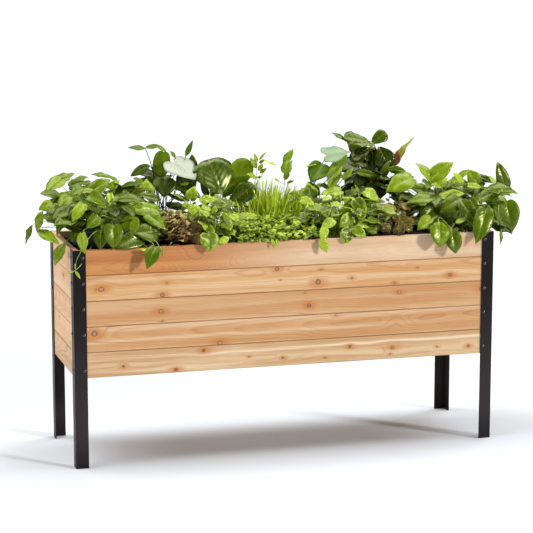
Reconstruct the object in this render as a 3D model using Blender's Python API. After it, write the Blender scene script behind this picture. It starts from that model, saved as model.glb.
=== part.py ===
"""Raised cedar planter box on four steel angle legs, planted with foliage plants.

Metres, +Z up. The origin is on the ground under the middle of the planter, the
long front faces -Y. The boards stand inside the leg angles and are screwed on
through the flanges. Cross slats lie on two cleats and carry a fabric liner full
of soil. Two of the plants stay in their own pots, sunk part way into the soil,
and the others are rooted straight in it.
"""

import math

import bmesh
import bpy
from mathutils import Matrix, Vector

# Driving dimensions of the frame and the box.
LENGTH = 1.530
DEPTH = 0.457
LEG_HEIGHT = 0.762
FLANGE = 0.04445
STEEL = 0.003
STEEL_CORNER = 0.0022
BOARD_FACE = 0.0889
BOARD_THICK = 0.018
BOARD_ROWS = 5
BOARD_EASE = 0.0016
GAP = 0.0003

# Screw holes through the leg flanges.
HOLE_RADIUS = 0.0026
HOLE_FROM_CORNER = 0.0345
HOLE_FROM_BOARD_EDGE = 0.295 * BOARD_FACE
HOLE_SIDES = 12

# Floor, liner and soil.
CLEAT_THICK = 0.019
CLEAT_HEIGHT = 0.038
SLAT_COUNT = 10
SLAT_WIDTH = 0.1397
SLAT_THICK = 0.016
FLOOR_EASE = 0.001
LINER_THICK = 0.002
LINER_BELOW_RIM = 0.018
SOIL_BELOW_RIM = 0.050

# The inside of the box, worked out from the sizes above.
OUTER_X = LENGTH / 2 - STEEL - GAP
OUTER_Y = DEPTH / 2 - STEEL - GAP
INNER_X = OUTER_X - BOARD_THICK
INNER_Y = OUTER_Y - BOARD_THICK
BOX_BOTTOM = LEG_HEIGHT - BOARD_ROWS * BOARD_FACE
FLOOR_TOP = BOX_BOTTOM + CLEAT_HEIGHT + SLAT_THICK + 3 * GAP
SOIL_TOP = LEG_HEIGHT - SOIL_BELOW_RIM
SKIN = 0.001  # clearance of the liner to the boards and of a pot to its pocket

# Nursery pots: centre, rim radius, rim height over the ground, and depth.
POTS = {
    "left_pothos_pot": {"centre": (-0.622, -0.085), "rim": 0.122, "top": 0.822, "depth": 0.215},
    "palmate_begonia_pot": {"centre": (-0.385, -0.112), "rim": 0.066, "top": 0.778, "depth": 0.118},
}
POT_TAPER = 0.85
POT_WALL = 0.0018
POT_LIP = 0.004
POT_LIP_HEIGHT = 0.010
POT_SIDES = 32

# Plants: every section is (height, centre x, centre y, half width, half depth).
PLANT_SIDES = 16
STEM = 0.006
ROOTED = SOIL_TOP + GAP
ABOVE_RIM = LEG_HEIGHT + 0.004
OVERHANG_X = 0.912
OVERHANG_Y = 0.290


def material(name, colour, roughness, metallic=0.0):
    made = bpy.data.materials.new(name)
    made.use_nodes = True
    shader = made.node_tree.nodes["Principled BSDF"]
    shader.inputs["Base Color"].default_value = (*colour, 1.0)
    shader.inputs["Roughness"].default_value = roughness
    shader.inputs["Metallic"].default_value = metallic
    made.diffuse_color = (*colour, 1.0)
    return made


def add_object(name, bm, look, location=(0.0, 0.0, 0.0)):
    """Makes an object of the bmesh, with its faces turned outwards."""
    bmesh.ops.recalc_face_normals(bm, faces=bm.faces)
    mesh = bpy.data.meshes.new(name)
    bm.to_mesh(mesh)
    bm.free()
    mesh.materials.append(look)
    made = bpy.data.objects.new(name, mesh)
    made.location = location
    bpy.context.scene.collection.objects.link(made)
    made.parent = planter
    return made


def add_bevel(made, width, segments):
    bevel = made.modifiers.new("eased_edges", "BEVEL")
    bevel.width = width
    bevel.segments = segments
    bevel.limit_method = "ANGLE"
    bevel.angle_limit = math.radians(40)


def add_board(name, low, high, look, ease, segments=2):
    """A piece of sawn timber between two corners, with its edges eased."""
    low, high = Vector(low), Vector(high)
    bm = bmesh.new()
    bmesh.ops.create_cube(bm, size=1.0)
    bmesh.ops.scale(bm, vec=high - low, verts=bm.verts)
    made = add_object(name, bm, look, (low + high) / 2)
    add_bevel(made, ease, segments)
    return made


def add_cut(made, cutter):
    cutter.hide_render = True
    cutter.display_type = "WIRE"
    cut = made.modifiers.new("cut", "BOOLEAN")
    cut.operation = "DIFFERENCE"
    cut.solver = "EXACT"
    cut.object = cutter


# ---- steel legs ----


def screw_heights():
    """One screw height in each board: high on every board but the lowest."""
    heights = []
    for row in range(BOARD_ROWS):
        top = LEG_HEIGHT - row * BOARD_FACE
        lowest = row == BOARD_ROWS - 1
        heights.append(top - (BOARD_FACE - HOLE_FROM_BOARD_EDGE if lowest else HOLE_FROM_BOARD_EDGE))
    return heights


def add_leg(name, side_x, side_y, look):
    """An equal angle standing on end, its corner outwards, with a row of holes down each flange."""
    outline = (
        (0, 0),
        (FLANGE, 0),
        (FLANGE, STEEL),
        (STEEL, STEEL),
        (STEEL, FLANGE),
        (0, FLANGE),
    )
    bm = bmesh.new()
    verts = [bm.verts.new((-side_x * x, -side_y * y, 0)) for x, y in outline]
    base = bm.faces.new(verts)
    raised = bmesh.ops.extrude_face_region(bm, geom=[base])
    top = [v for v in raised["geom"] if isinstance(v, bmesh.types.BMVert)]
    bmesh.ops.translate(bm, vec=(0, 0, LEG_HEIGHT), verts=top)
    corner = [e for e in bm.edges if all(v.co.xy.length < STEEL / 10 for v in e.verts)]
    bmesh.ops.bevel(bm, geom=corner, offset=STEEL_CORNER, segments=4, affect="EDGES", profile=0.5)
    leg = add_object(name, bm, look, (side_x * LENGTH / 2, side_y * DEPTH / 2, 0))

    holes = bmesh.new()
    for height in screw_heights():
        for along_x in (True, False):
            made = bmesh.ops.create_cone(
                holes,
                cap_ends=True,
                segments=HOLE_SIDES,
                radius1=HOLE_RADIUS,
                radius2=HOLE_RADIUS,
                depth=4 * STEEL,
            )["verts"]
            turn = Matrix.Rotation(math.radians(90), 3, "X" if along_x else "Y")
            bmesh.ops.rotate(holes, cent=(0, 0, 0), matrix=turn, verts=made)
            at = (HOLE_FROM_CORNER, STEEL / 2) if along_x else (STEEL / 2, HOLE_FROM_CORNER)
            bmesh.ops.translate(holes, vec=(-side_x * at[0], -side_y * at[1], height), verts=made)
    add_cut(leg, add_object(name + "_holes", holes, look, leg.location))
    return leg


# ---- wooden box ----


def add_walls(look):
    """Five courses of boards: the long ones run full length and the end ones fit between them."""
    for row in range(BOARD_ROWS):
        low = LEG_HEIGHT - (row + 1) * BOARD_FACE + GAP
        high = LEG_HEIGHT - row * BOARD_FACE - GAP
        for side, name in ((-1, "front"), (1, "back")):
            ys = sorted((side * OUTER_Y, side * INNER_Y))
            add_board(
                f"{name}_board_{row + 1}",
                (-OUTER_X, ys[0], low),
                (OUTER_X, ys[1], high),
                look,
                BOARD_EASE,
            )
        for side, name in ((-1, "left"), (1, "right")):
            xs = sorted((side * OUTER_X, side * INNER_X))
            add_board(
                f"{name}_end_board_{row + 1}",
                (xs[0], GAP - INNER_Y, low),
                (xs[1], INNER_Y - GAP, high),
                look,
                BOARD_EASE,
            )


def add_floor(look):
    """Two cleats along the long walls, and the cross slats that lie on them."""
    bottom = BOX_BOTTOM + GAP
    for side, name in ((-1, "front"), (1, "back")):
        ys = sorted((side * (INNER_Y - GAP), side * (INNER_Y - GAP - CLEAT_THICK)))
        add_board(
            f"floor_cleat_{name}",
            (SKIN - INNER_X, ys[0], bottom),
            (INNER_X - SKIN, ys[1], bottom + CLEAT_HEIGHT),
            look,
            FLOOR_EASE,
            1,
        )
    room = 2 * (INNER_X - SKIN)
    pitch = (room - SLAT_WIDTH) / (SLAT_COUNT - 1)
    low = bottom + CLEAT_HEIGHT + GAP
    for i in range(SLAT_COUNT):
        left = -room / 2 + i * pitch
        add_board(
            f"floor_slat_{i + 1:02d}",
            (left, SKIN - INNER_Y, low),
            (left + SLAT_WIDTH, INNER_Y - SKIN, low + SLAT_THICK),
            look,
            FLOOR_EASE,
            1,
        )


# ---- liner, soil and pots ----


def add_liner(look):
    """A fabric bag, open at the top, against the inside of the box."""
    low = Vector((SKIN - INNER_X, SKIN - INNER_Y, FLOOR_TOP + GAP))
    high = Vector((INNER_X - SKIN, INNER_Y - SKIN, LEG_HEIGHT - LINER_BELOW_RIM))
    bm = bmesh.new()
    bmesh.ops.create_cube(bm, size=1.0)
    bmesh.ops.scale(bm, vec=high - low, verts=bm.verts)
    lid = [f for f in bm.faces if f.calc_center_median().z > (high.z - low.z) / 4]
    bmesh.ops.delete(bm, geom=lid, context="FACES_ONLY")
    liner = add_object("fabric_liner", bm, look, (low + high) / 2)
    wall = liner.modifiers.new("cloth", "SOLIDIFY")
    wall.thickness = LINER_THICK
    wall.offset = -1.0
    wall.use_even_offset = True


def add_soil(look):
    inset = SKIN + LINER_THICK + GAP
    low = Vector((inset - INNER_X, inset - INNER_Y, FLOOR_TOP + LINER_THICK + 2 * GAP))
    high = Vector((INNER_X - inset, INNER_Y - inset, SOIL_TOP))
    bm = bmesh.new()
    bmesh.ops.create_cube(bm, size=1.0)
    bmesh.ops.scale(bm, vec=high - low, verts=bm.verts)
    soil = add_object("potting_soil", bm, look, (low + high) / 2)
    for name, pot in POTS.items():
        pocket = turned_mesh(
            (
                (0, -SKIN),
                (pot["rim"] * POT_TAPER + SKIN, -SKIN),
                (pot["rim"] + SKIN, pot["depth"]),
                (0, pot["depth"]),
            )
        )
        place = (*pot["centre"], pot["top"] - pot["depth"])
        add_cut(soil, add_object(name + "_pocket", pocket, look, place))


def turned_mesh(profile):
    """A closed solid of revolution about Z, from (radius, height) points that start and end on the axis."""
    bm = bmesh.new()
    verts = [bm.verts.new((radius, 0, height)) for radius, height in profile]
    edges = [bm.edges.new(pair) for pair in zip(verts, verts[1:])]
    bmesh.ops.spin(
        bm,
        geom=verts + edges,
        cent=(0, 0, 0),
        axis=(0, 0, 1),
        angle=math.tau,
        steps=POT_SIDES,
        use_merge=True,
    )
    bmesh.ops.remove_doubles(bm, verts=bm.verts, dist=1e-6)
    return bm


def add_pot(name, centre, rim, top, depth, look):
    """A thin tapered pot with a square lip round its mouth."""
    base = rim * POT_TAPER
    under_lip = depth - POT_LIP_HEIGHT
    at_lip = base + (rim - base) * under_lip / depth
    profile = (
        (0, POT_WALL),
        (base - POT_WALL, POT_WALL),
        (rim - POT_WALL, depth),
        (rim + POT_LIP, depth),
        (rim + POT_LIP, under_lip),
        (at_lip, under_lip),
        (base, 0),
        (0, 0),
    )
    pot = add_object(name, turned_mesh(profile), look, (*centre, top - depth))
    pot.data.shade_smooth()
    pot.data.set_sharp_from_angle(angle=math.radians(35))


# ---- plants ----


def plant_rows():
    """The plants' outer shapes, from the root up, each in a space of its own."""
    pot_a, pot_b = POTS["left_pothos_pot"], POTS["palmate_begonia_pot"]
    return {
        "left_pothos": potted(pot_a) + crown(0.830, 0.985, *end_clump(-1, -0.478), under=0.25),
        "palmate_begonia": potted(pot_b) + crown(0.784, 0.900, -0.373, -0.03, 0.071, 0.215, under=0.3),
        "golden_pothos": mound(-0.272, -0.134, -0.02, 0.235, 0.935),
        "creeping_groundcover": mound(-0.105, 0.090, -0.130, 0.108, 0.850),
        "grass_clump": mound(-0.105, 0.090, 0.120, 0.098, 0.940),
        "peperomia": mound(0.118, 0.385, -0.02, 0.245, 0.920),
        "spotted_begonia": mound(0.418, 0.494, -0.120, 0.135, 0.905),
        "right_pothos": mound(0.504, OVERHANG_X, 0, OVERHANG_Y, 0.985, root_x=0.600),
        "tall_anthurium": stemmed((-0.463, 0.06), (-0.425, 0.04), 0.945, 1.110, 0.100, 0.180),
        "left_fiddle_fig": stemmed((-0.285, 0.06), (-0.205, 0.03), 0.945, 1.060, 0.090, 0.190),
        "left_sprig": stemmed((-0.119, 0), (-0.080, 0), 0.950, 1.075, 0.028, 0.050),
        "right_sprig": stemmed((0.000, 0), (0.045, 0), 0.950, 1.085, 0.040, 0.060),
        "pale_anthurium": stemmed((0.104, 0), (0.150, 0), 0.945, 1.080, 0.050, 0.120),
        "right_fiddle_fig": stemmed((0.402, 0.08), (0.322, 0.04), 0.945, 1.125, 0.105, 0.200),
        "croton": stemmed((0.462, 0.050), (0.495, 0), 1.000, 1.105, 0.050, 0.080),
    }


def crown(low, high, x, y, half_x, half_y, under=0.0):
    """Sections of a rounded crown. The share of its height below its widest place is under."""
    widest = low + under * (high - low)
    degrees = ([-70, -45, -20] if under else []) + [0, 20, 42, 62, 78]
    reach = math.sin(math.radians(78))
    sections = []
    for degree in degrees:
        angle = math.radians(degree)
        room = high - widest if degree > 0 else widest - low
        size = math.cos(angle)
        sections.append((widest + room * math.sin(angle) / reach, x, y, half_x * size, half_y * size))
    return tuple(sections)


def potted(pot):
    """The root ball of a plant in its pot, ending just over the rim."""
    clear = POT_WALL + SKIN
    bottom = pot["top"] - pot["depth"]
    x, y = pot["centre"]
    low, high = pot["rim"] * POT_TAPER - clear, pot["rim"] - clear
    return (
        (bottom + POT_WALL + GAP, x, y, low, low),
        (pot["top"] + 0.002, x, y, high, high),
    )


def end_clump(side, inner_x):
    """The middle and the half sizes of a clump between inner_x and the planter's overhang."""
    half = (OVERHANG_X - abs(inner_x)) / 2
    return side * (OVERHANG_X - half), 0, half, OVERHANG_Y


def mound(low_x, high_x, y, half_y, top, root_x=None):
    """A low plant rooted in the soil, which spreads once it clears the rim."""
    x, half_x = (low_x + high_x) / 2, (high_x - low_x) / 2
    root = (x if root_x is None else root_x, y, half_x * 0.5, half_y * 0.5)
    return (
        (ROOTED, *root),
        (LEG_HEIGHT, *root),
        *crown(ABOVE_RIM, top, x, y, half_x, half_y),
    )


def stemmed(root, middle, low, high, half_x, half_y):
    """A tall plant: a thin stem with an oval crown of leaves on it."""
    return (
        (ROOTED, *root, STEM, STEM),
        (low - 0.012, *root, STEM, STEM),
        *crown(low, high, *middle, half_x, half_y, under=0.4),
    )


def add_plant(name, sections, look):
    """One closed body through oval sections."""
    bm = bmesh.new()
    rings = []
    for height, x, y, half_x, half_y in sections:
        angles = [math.tau * i / PLANT_SIDES for i in range(PLANT_SIDES)]
        ring = [
            bm.verts.new((x + half_x * math.cos(a), y + half_y * math.sin(a), height)) for a in angles
        ]
        rings.append(ring)
    for lower, upper in zip(rings, rings[1:]):
        for i in range(PLANT_SIDES):
            j = (i + 1) % PLANT_SIDES
            bm.faces.new((lower[i], lower[j], upper[j], upper[i]))
    bm.faces.new(rings[0])
    bm.faces.new(rings[-1])
    plant = add_object(name, bm, look)
    plant.data.shade_smooth()


# ---- the whole planter ----

for old in list(bpy.data.objects):
    bpy.data.objects.remove(old, do_unlink=True)

planter = bpy.data.objects.new("planter", None)
bpy.context.scene.collection.objects.link(planter)

cedar = material("cedar", (0.62, 0.36, 0.16), 0.62)
rough_cedar = material("rough_cedar", (0.46, 0.27, 0.13), 0.75)
black_steel = material("black_steel", (0.018, 0.016, 0.016), 0.45, 0.3)
black_plastic = material("black_plastic", (0.015, 0.015, 0.016), 0.40)
liner_cloth = material("liner_cloth", (0.02, 0.02, 0.02), 0.90)
dark_soil = material("dark_soil", (0.055, 0.035, 0.022), 0.95)
foliage = material("foliage", (0.16, 0.36, 0.06), 0.45)

for place_y, depth_name in ((-1, "front"), (1, "back")):
    for place_x, side_name in ((-1, "left"), (1, "right")):
        add_leg(f"leg_{depth_name}_{side_name}", place_x, place_y, black_steel)
add_walls(cedar)
add_floor(rough_cedar)
add_liner(liner_cloth)
add_soil(dark_soil)
for pot_name, pot in POTS.items():
    add_pot(pot_name, look=black_plastic, **pot)
for plant_name, sections in plant_rows().items():
    add_plant(plant_name, sections, foliage)
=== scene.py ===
"""Looks of the raised cedar planter: its timber, steel, soil, pots and foliage.

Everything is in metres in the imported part's frame: +Z up, the long front facing -Y. Only the
plants' tables are in centimetres.
"""

import math
import random

import bmesh
import bpy
import numpy as np
from mathutils import Matrix, Vector


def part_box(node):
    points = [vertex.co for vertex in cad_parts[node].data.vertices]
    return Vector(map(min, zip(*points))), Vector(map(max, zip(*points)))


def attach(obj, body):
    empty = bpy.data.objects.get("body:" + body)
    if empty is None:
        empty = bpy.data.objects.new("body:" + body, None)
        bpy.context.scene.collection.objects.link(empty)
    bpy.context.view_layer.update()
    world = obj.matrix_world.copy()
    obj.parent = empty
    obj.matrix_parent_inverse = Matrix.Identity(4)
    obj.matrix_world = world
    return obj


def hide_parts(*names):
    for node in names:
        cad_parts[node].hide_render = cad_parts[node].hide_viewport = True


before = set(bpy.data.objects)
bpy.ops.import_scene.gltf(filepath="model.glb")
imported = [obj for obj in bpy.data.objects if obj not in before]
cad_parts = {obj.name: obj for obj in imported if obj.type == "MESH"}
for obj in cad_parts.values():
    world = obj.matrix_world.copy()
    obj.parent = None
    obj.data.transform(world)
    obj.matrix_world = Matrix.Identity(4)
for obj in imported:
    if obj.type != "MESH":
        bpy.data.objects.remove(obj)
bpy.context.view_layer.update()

# ---- sizes read from the frame ----

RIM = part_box("leg_front_left")[1].z
BOARD_LOW, BOARD_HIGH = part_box("front_board_1")
BOARD_ROWS = 5
BOARD_PITCH = BOARD_HIGH.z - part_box("front_board_2")[1].z
BOARD_HALF = (BOARD_HIGH.z - BOARD_LOW.z) / 2
SOIL_LOW, SOIL_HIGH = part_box("potting_soil")
LINER_LOW, LINER_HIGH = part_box("fabric_liner")


def srgb(red, green, blue):
    """Linear RGBA of an sRGB colour given in 0 to 255."""
    parts = [c / 255 for c in (red, green, blue)]
    return (*(c / 12.92 if c <= 0.04045 else ((c + 0.055) / 1.055) ** 2.4 for c in parts), 1.0)


# ---- building materials ----


class Value:
    """A node's output, which Python's own signs can work on."""

    def __init__(self, nodes, socket):
        self.nodes, self.socket = nodes, socket

    def math(self, operation, other=0.0):
        """Any operation of Blender's math node, such as "SQRT" or "MAXIMUM"."""
        return self.nodes.math(operation, self, other)

    def __add__(self, other):
        return self.math("ADD", other)

    def __sub__(self, other):
        return self.math("SUBTRACT", other)

    def __rsub__(self, other):
        return self.nodes.math("SUBTRACT", other, self)

    def __mul__(self, other):
        return self.math("MULTIPLY", other)

    __radd__, __rmul__ = __add__, __mul__

    def span(self, low, high, to_low=0.0, to_high=1.0):
        """A smooth change from to_low to to_high while this value goes from low to high."""
        node = self.nodes.new("MapRange", (self, low, high, to_low, to_high))
        node.interpolation_type = "SMOOTHSTEP"
        return Value(self.nodes, node.outputs[0])


class Nodes:
    """A new material's node tree, with short names for the nodes used here."""

    def __init__(self, name):
        self.material = bpy.data.materials.new(name)
        self.material.use_nodes = True
        self.tree = self.material.node_tree
        self.shader = self.tree.nodes["Principled BSDF"]

    def put(self, socket, value):
        if isinstance(value, Value):
            self.tree.links.new(value.socket, socket)
        else:
            socket.default_value = value

    def set(self, **sockets):
        for name, value in sockets.items():
            self.put(self.shader.inputs[name.replace("_", " ")], value)

    def new(self, kind, values=(), **named):
        node = self.tree.nodes.new("ShaderNode" + kind)
        for socket, value in zip(node.inputs, values):
            self.put(socket, value)
        for name, value in named.items():
            self.put(node.inputs[name], value)
        return node

    def math(self, operation, a, b=0.0):
        node = self.new("Math", (a, b))
        node.operation = operation
        return Value(self, node.outputs[0])

    def stretch(self, place, by):
        node = self.new("VectorMath", (place, by))
        node.operation = "MULTIPLY"
        return Value(self, node.outputs[0])

    def split(self, vector):
        return [Value(self, out) for out in self.new("SeparateXYZ", (vector,)).outputs]

    def join(self, x, y, z):
        return Value(self, self.new("CombineXYZ", (x, y, z)).outputs[0])

    def mix(self, share, a, b):
        node = self.new("Mix")
        node.data_type = "RGBA"
        for socket, value in ((0, share), (6, a), (7, b)):
            self.put(node.inputs[socket], value)
        return Value(self, node.outputs[2])

    def ramp(self, value, *stops):
        node = self.new("ValToRGB", (value,))
        points = node.color_ramp.elements
        while len(points) < len(stops):
            points.new(0.5)
        for point, (place, colour) in zip(points, stops):
            point.position = place
            point.color = colour
        return Value(self, node.outputs[0])

    def noise(self, place, scale, detail, roughness):
        node = self.new("TexNoise", Vector=place, Scale=scale, Detail=detail, Roughness=roughness)
        return Value(self, node.outputs[0])

    def cells(self, place, scale):
        return Value(self, self.new("TexVoronoi", Vector=place, Scale=scale).outputs[0])

    def object_place(self):
        return Value(self, self.new("TexCoord").outputs["Object"])

    def attribute(self, name):
        node = self.new("Attribute")
        node.attribute_name = name
        return Value(self, node.outputs["Vector"])

    def level(self):
        """1 on a face that looks up or down, 0 on an upright one."""
        facing = Value(self, self.new("NewGeometry").outputs["Normal"])
        return self.split(facing)[2].math("ABSOLUTE").span(0.4, 0.9)

    def bump(self, height, strength, distance):
        node = self.new("Bump", Height=height, Strength=strength, Distance=distance)
        return Value(self, node.outputs[0])


# ---- cedar ----

GREY_KNOT = (srgb(168, 132, 108), srgb(126, 100, 84))
BROWN_KNOT = (srgb(150, 86, 44), srgb(104, 56, 28))
LATEWOOD_RISE = 0.55  # the share of a growth ring after which it starts to darken
LATEWOOD_END = 0.93  # the share at which it is darkest, just before the next ring


def length_of(a, b):
    return (a * a + b * b).math("SQRT")


def knot_marks(knots, run, rise, fine, swirl):
    """How knots push the growth rings (swirl) and the grain (parting) aside, and the masks of
    their cores, rims and halos. A knot of no strength only pushes the rings."""
    parting, core_mask, rim_mask, halo = 0.0, 0.0, 0.0, 0.0
    for place, level, size, strength in knots:
        dx, dz = (run - place) * (1.0 / size), (rise - level) * (1.0 / size)
        wide = (dx * dx * 0.12 + dz * dz * 0.5).math("SQRT")
        swirl = swirl + (wide * wide * -0.55).math("EXPONENT") * (1.1 * size)
        if strength == 0.0:
            continue
        wobble = (fine - 0.5) * 0.7
        far = (dx * dx * 0.75 + dz * dz).math("SQRT") + wobble
        near = ((dx * dx * 0.02 + dz * dz * 0.14) * -1.0).math("EXPONENT")
        parting = parting + dz * near * (-0.7 * size)
        rim = far.span(0.35, 0.78) * far.span(0.78, 1.12, strength, 0.0)
        glow = (wide + wobble * 0.7).span(0.5, 2.1, strength, 0.0)
        core_mask = far.span(0.45, 0.8, strength, 0.0).math("MAXIMUM", core_mask)
        rim_mask = rim.math("MAXIMUM", rim_mask)
        halo = glow.math("MAXIMUM", halo)
    return swirl, parting, core_mask, rim_mask, halo


def cedar(name, middle, tones, seed, ring, pith=(-0.02, 0.045), slope=0.03, knots=(), along="x",
          toast=None, knot=GREY_KNOT, streaks=0.3):
    """Flat-sawn cedar for a board whose middle is at the height given. ring is the growth rings'
    width, pith (height, depth) of their centre behind the face, and slope how that depth changes
    along the board. knots are (place along, height, radius, strength). toast is the stretch of
    brown heartwood: (full up to here, none from here, strength)."""
    n = Nodes(name)
    light, tan, dark = tones
    x, y, z = n.split(n.object_place())
    run, deep = (x, y) if along == "x" else (y, x)
    rise = z - middle
    shift = 7.3 * seed
    wander = (n.noise(n.join(run * 2.2, rise * 5.0, shift), 1.0, 2.0, 0.5) - 0.5) * 0.045
    fine = n.noise(n.join(run * 9.0, rise * 60.0, shift + 3), 1.0, 2.0, 0.5)
    shiver = (fine - 0.5) * 0.0022
    swirl, parting, core_mask, rim_mask, halo = knot_marks(knots, run, rise, fine, shiver)

    from_pith = length_of(rise - pith[0] + wander, run * slope + pith[1] + deep * 0.35 + wander * 0.6)
    turns = (from_pith + swirl) * (1.0 / ring)
    phase = turns.math("FRACT")
    bold = n.noise(n.join(turns.math("FLOOR"), shift, run * 1.5), 0.7, 1.0, 0.5)
    latewood = phase.span(LATEWOOD_RISE, LATEWOOD_END) * phase.span(LATEWOOD_END, 1.0, 1.0, 0.0)
    latewood = latewood * bold.span(0.3, 0.75, 0.25, 1.0)

    parted = rise + parting + wander * 0.25
    bands = n.noise(n.join(run * 0.7, parted * 34.0, shift + 9), 1.0, 2.0, 0.55)
    blotch = n.noise(n.join(run * 3.0, rise * 9.0, shift + 5), 1.0, 3.0, 0.55)
    flow = n.noise(n.join(run * 0.6, parted * 36.0, shift + 15), 1.0, 1.0, 0.4)
    fibre = n.noise(n.join(run * 14.0, rise * 900.0, deep * 900.0), 1.0, 3.0, 0.6)
    colour = n.mix(bands.span(0.36, 0.66), tan, light)
    colour = n.mix(blotch.span(0.42, 0.85), colour, light)
    colour = n.mix(flow.span(0.52, 0.66) * streaks, colour, srgb(238, 220, 192))
    shown = latewood * 0.5
    if toast:
        full, none, strength = toast
        toasted = (run + wander * 2.0).span(full, none, strength, 0.0)
        heart = n.mix(bands.span(0.35, 0.65), srgb(172, 104, 46), srgb(194, 132, 72))
        colour = n.mix(toasted, colour, heart)
        dark = n.mix(toasted, dark, srgb(150, 82, 34))
        shown = latewood * run.span(full, none, 0.42, 0.12)
    colour = n.mix(shown, colour, dark)
    colour = n.mix(fibre.span(0.35, 0.8, 0.0, 0.28), colour, dark)
    if knots:
        colour = n.mix(halo * bands.span(0.2, 0.7, 1.0, 0.5), colour, srgb(184, 112, 46))
        colour = n.mix(rim_mask * 0.9, colour, srgb(100, 54, 32))
        colour = n.mix(core_mask * 0.85, colour, n.mix(fine.span(0.3, 0.7), *knot))
    # Painted shade: a thin brown band along the top and bottom of each board's upright faces, for the shadow
    # in the gaps between the boards.
    edge = rise.math("ABSOLUTE").span(BOARD_HALF - 0.0022, BOARD_HALF - 0.0006, 0.0, 0.75)
    colour = n.mix(edge * (1.0 - n.level()), colour, srgb(108, 56, 28))
    saw_marks = (run * 1500.0 + fine * 2.0).math("SINE")
    relief = latewood * 0.15 + fibre * 0.6 + saw_marks * 0.05 + rim_mask * -0.8
    n.set(Base_Color=colour, Roughness=fibre.span(0.2, 0.8, 0.52, 0.68), Specular_IOR_Level=0.35)
    n.set(Normal=n.bump(relief, 0.35, 0.0006))
    return n.material


# Tones of cedar: light, tan and dark.
HONEY = (srgb(210, 172, 124), srgb(198, 147, 92), srgb(157, 94, 47))
AMBER = (srgb(202, 162, 116), srgb(189, 138, 88), srgb(150, 91, 49))
ROSE = (srgb(217, 190, 159), srgb(202, 164, 123), srgb(165, 112, 73))
CREAM = (srgb(210, 180, 141), srgb(189, 150, 105), srgb(159, 105, 59))
PALE = (srgb(228, 187, 143), srgb(218, 168, 121), srgb(187, 124, 77))
PLAIN = (srgb(206, 170, 130), srgb(180, 138, 98), srgb(140, 96, 62))

# The front boards from the rim down, placed against the photograph. Knots are placed from
# the middle of their board.
FRONT_BOARDS = (
    {"tones": ROSE, "seed": 1, "streaks": 0.15, "pith": (-0.012, 0.010), "slope": 0.035, "ring": 0.0031,
     "knots": ((-0.33, -0.002, 0.024, 0.0),), "toast": (-0.42, 0.14, 0.95)},
    {"tones": HONEY, "seed": 2, "streaks": 0.2, "pith": (0.030, 0.030), "slope": 0.02, "ring": 0.0052,
     "knots": ((-0.668, -0.003, 0.0085, 1.0), (-0.688, -0.003, 0.003, 0.8), (-0.440, 0.007, 0.005, 0.6),
               (-0.455, -0.035, 0.008, 0.9), (-0.045, 0.036, 0.008, 0.9), (-0.033, -0.004, 0.0025, 1.0),
               (0.105, -0.016, 0.0095, 1.0), (0.116, 0.026, 0.003, 0.9), (0.230, -0.010, 0.0045, 0.9),
               (0.389, -0.035, 0.004, 1.0), (0.475, 0.015, 0.0025, 1.0), (0.600, -0.016, 0.007, 1.0))},
    {"tones": AMBER, "seed": 3, "streaks": 0.08, "pith": (-0.050, 0.030), "slope": -0.02, "ring": 0.0040,
     "knots": ((-0.461, -0.002, 0.008, 0.9), (-0.457, -0.037, 0.003, 0.8), (0.072, -0.011, 0.0075, 1.0),
               (0.058, 0.034, 0.0025, 0.9), (0.408, 0.018, 0.007, 0.85), (0.722, 0.014, 0.008, 0.9))},
    {"tones": AMBER, "seed": 4, "streaks": 0.25, "pith": (0.010, 0.028), "slope": 0.025, "ring": 0.0050,
     "knots": ((-0.694, 0.022, 0.0095, 1.0), (-0.252, -0.038, 0.009, 0.9), (0.173, 0.038, 0.006, 0.5),
               (0.40, 0.0, 0.014, 0.0))},
    {"tones": CREAM, "seed": 5, "streaks": 0.6, "pith": (0.000, 0.050), "slope": -0.02, "ring": 0.0060,
     "knot": BROWN_KNOT,
     "knots": ((-0.595, -0.010, 0.005, 0.9), (-0.310, 0.028, 0.007, 0.8), (-0.410, -0.033, 0.007, 0.9),
               (-0.147, -0.004, 0.003, 0.9), (-0.024, -0.015, 0.005, 0.9), (0.131, -0.024, 0.003, 0.7),
               (0.224, 0.010, 0.0055, 0.9), (0.384, -0.003, 0.009, 0.6), (0.376, -0.026, 0.0035, 0.9),
               (0.554, -0.010, 0.004, 0.8), (0.675, -0.015, 0.006, 0.9))},
)
BACK_TONES = (CREAM, AMBER, AMBER, HONEY, ROSE)


def spread_knots(seed, length, count):
    """Knots for a board that has none of its own."""
    draw = random.Random(seed)
    return [(draw.uniform(-0.47, 0.47) * length, draw.uniform(-0.036, 0.036),
             draw.choice((0.003, 0.005, 0.0075, 0.009)), draw.uniform(0.7, 1.0)) for _ in range(count)]


def paint(node, material):
    """Gives a CAD node its material."""
    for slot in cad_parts[node].material_slots:
        slot.material = material


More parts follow.
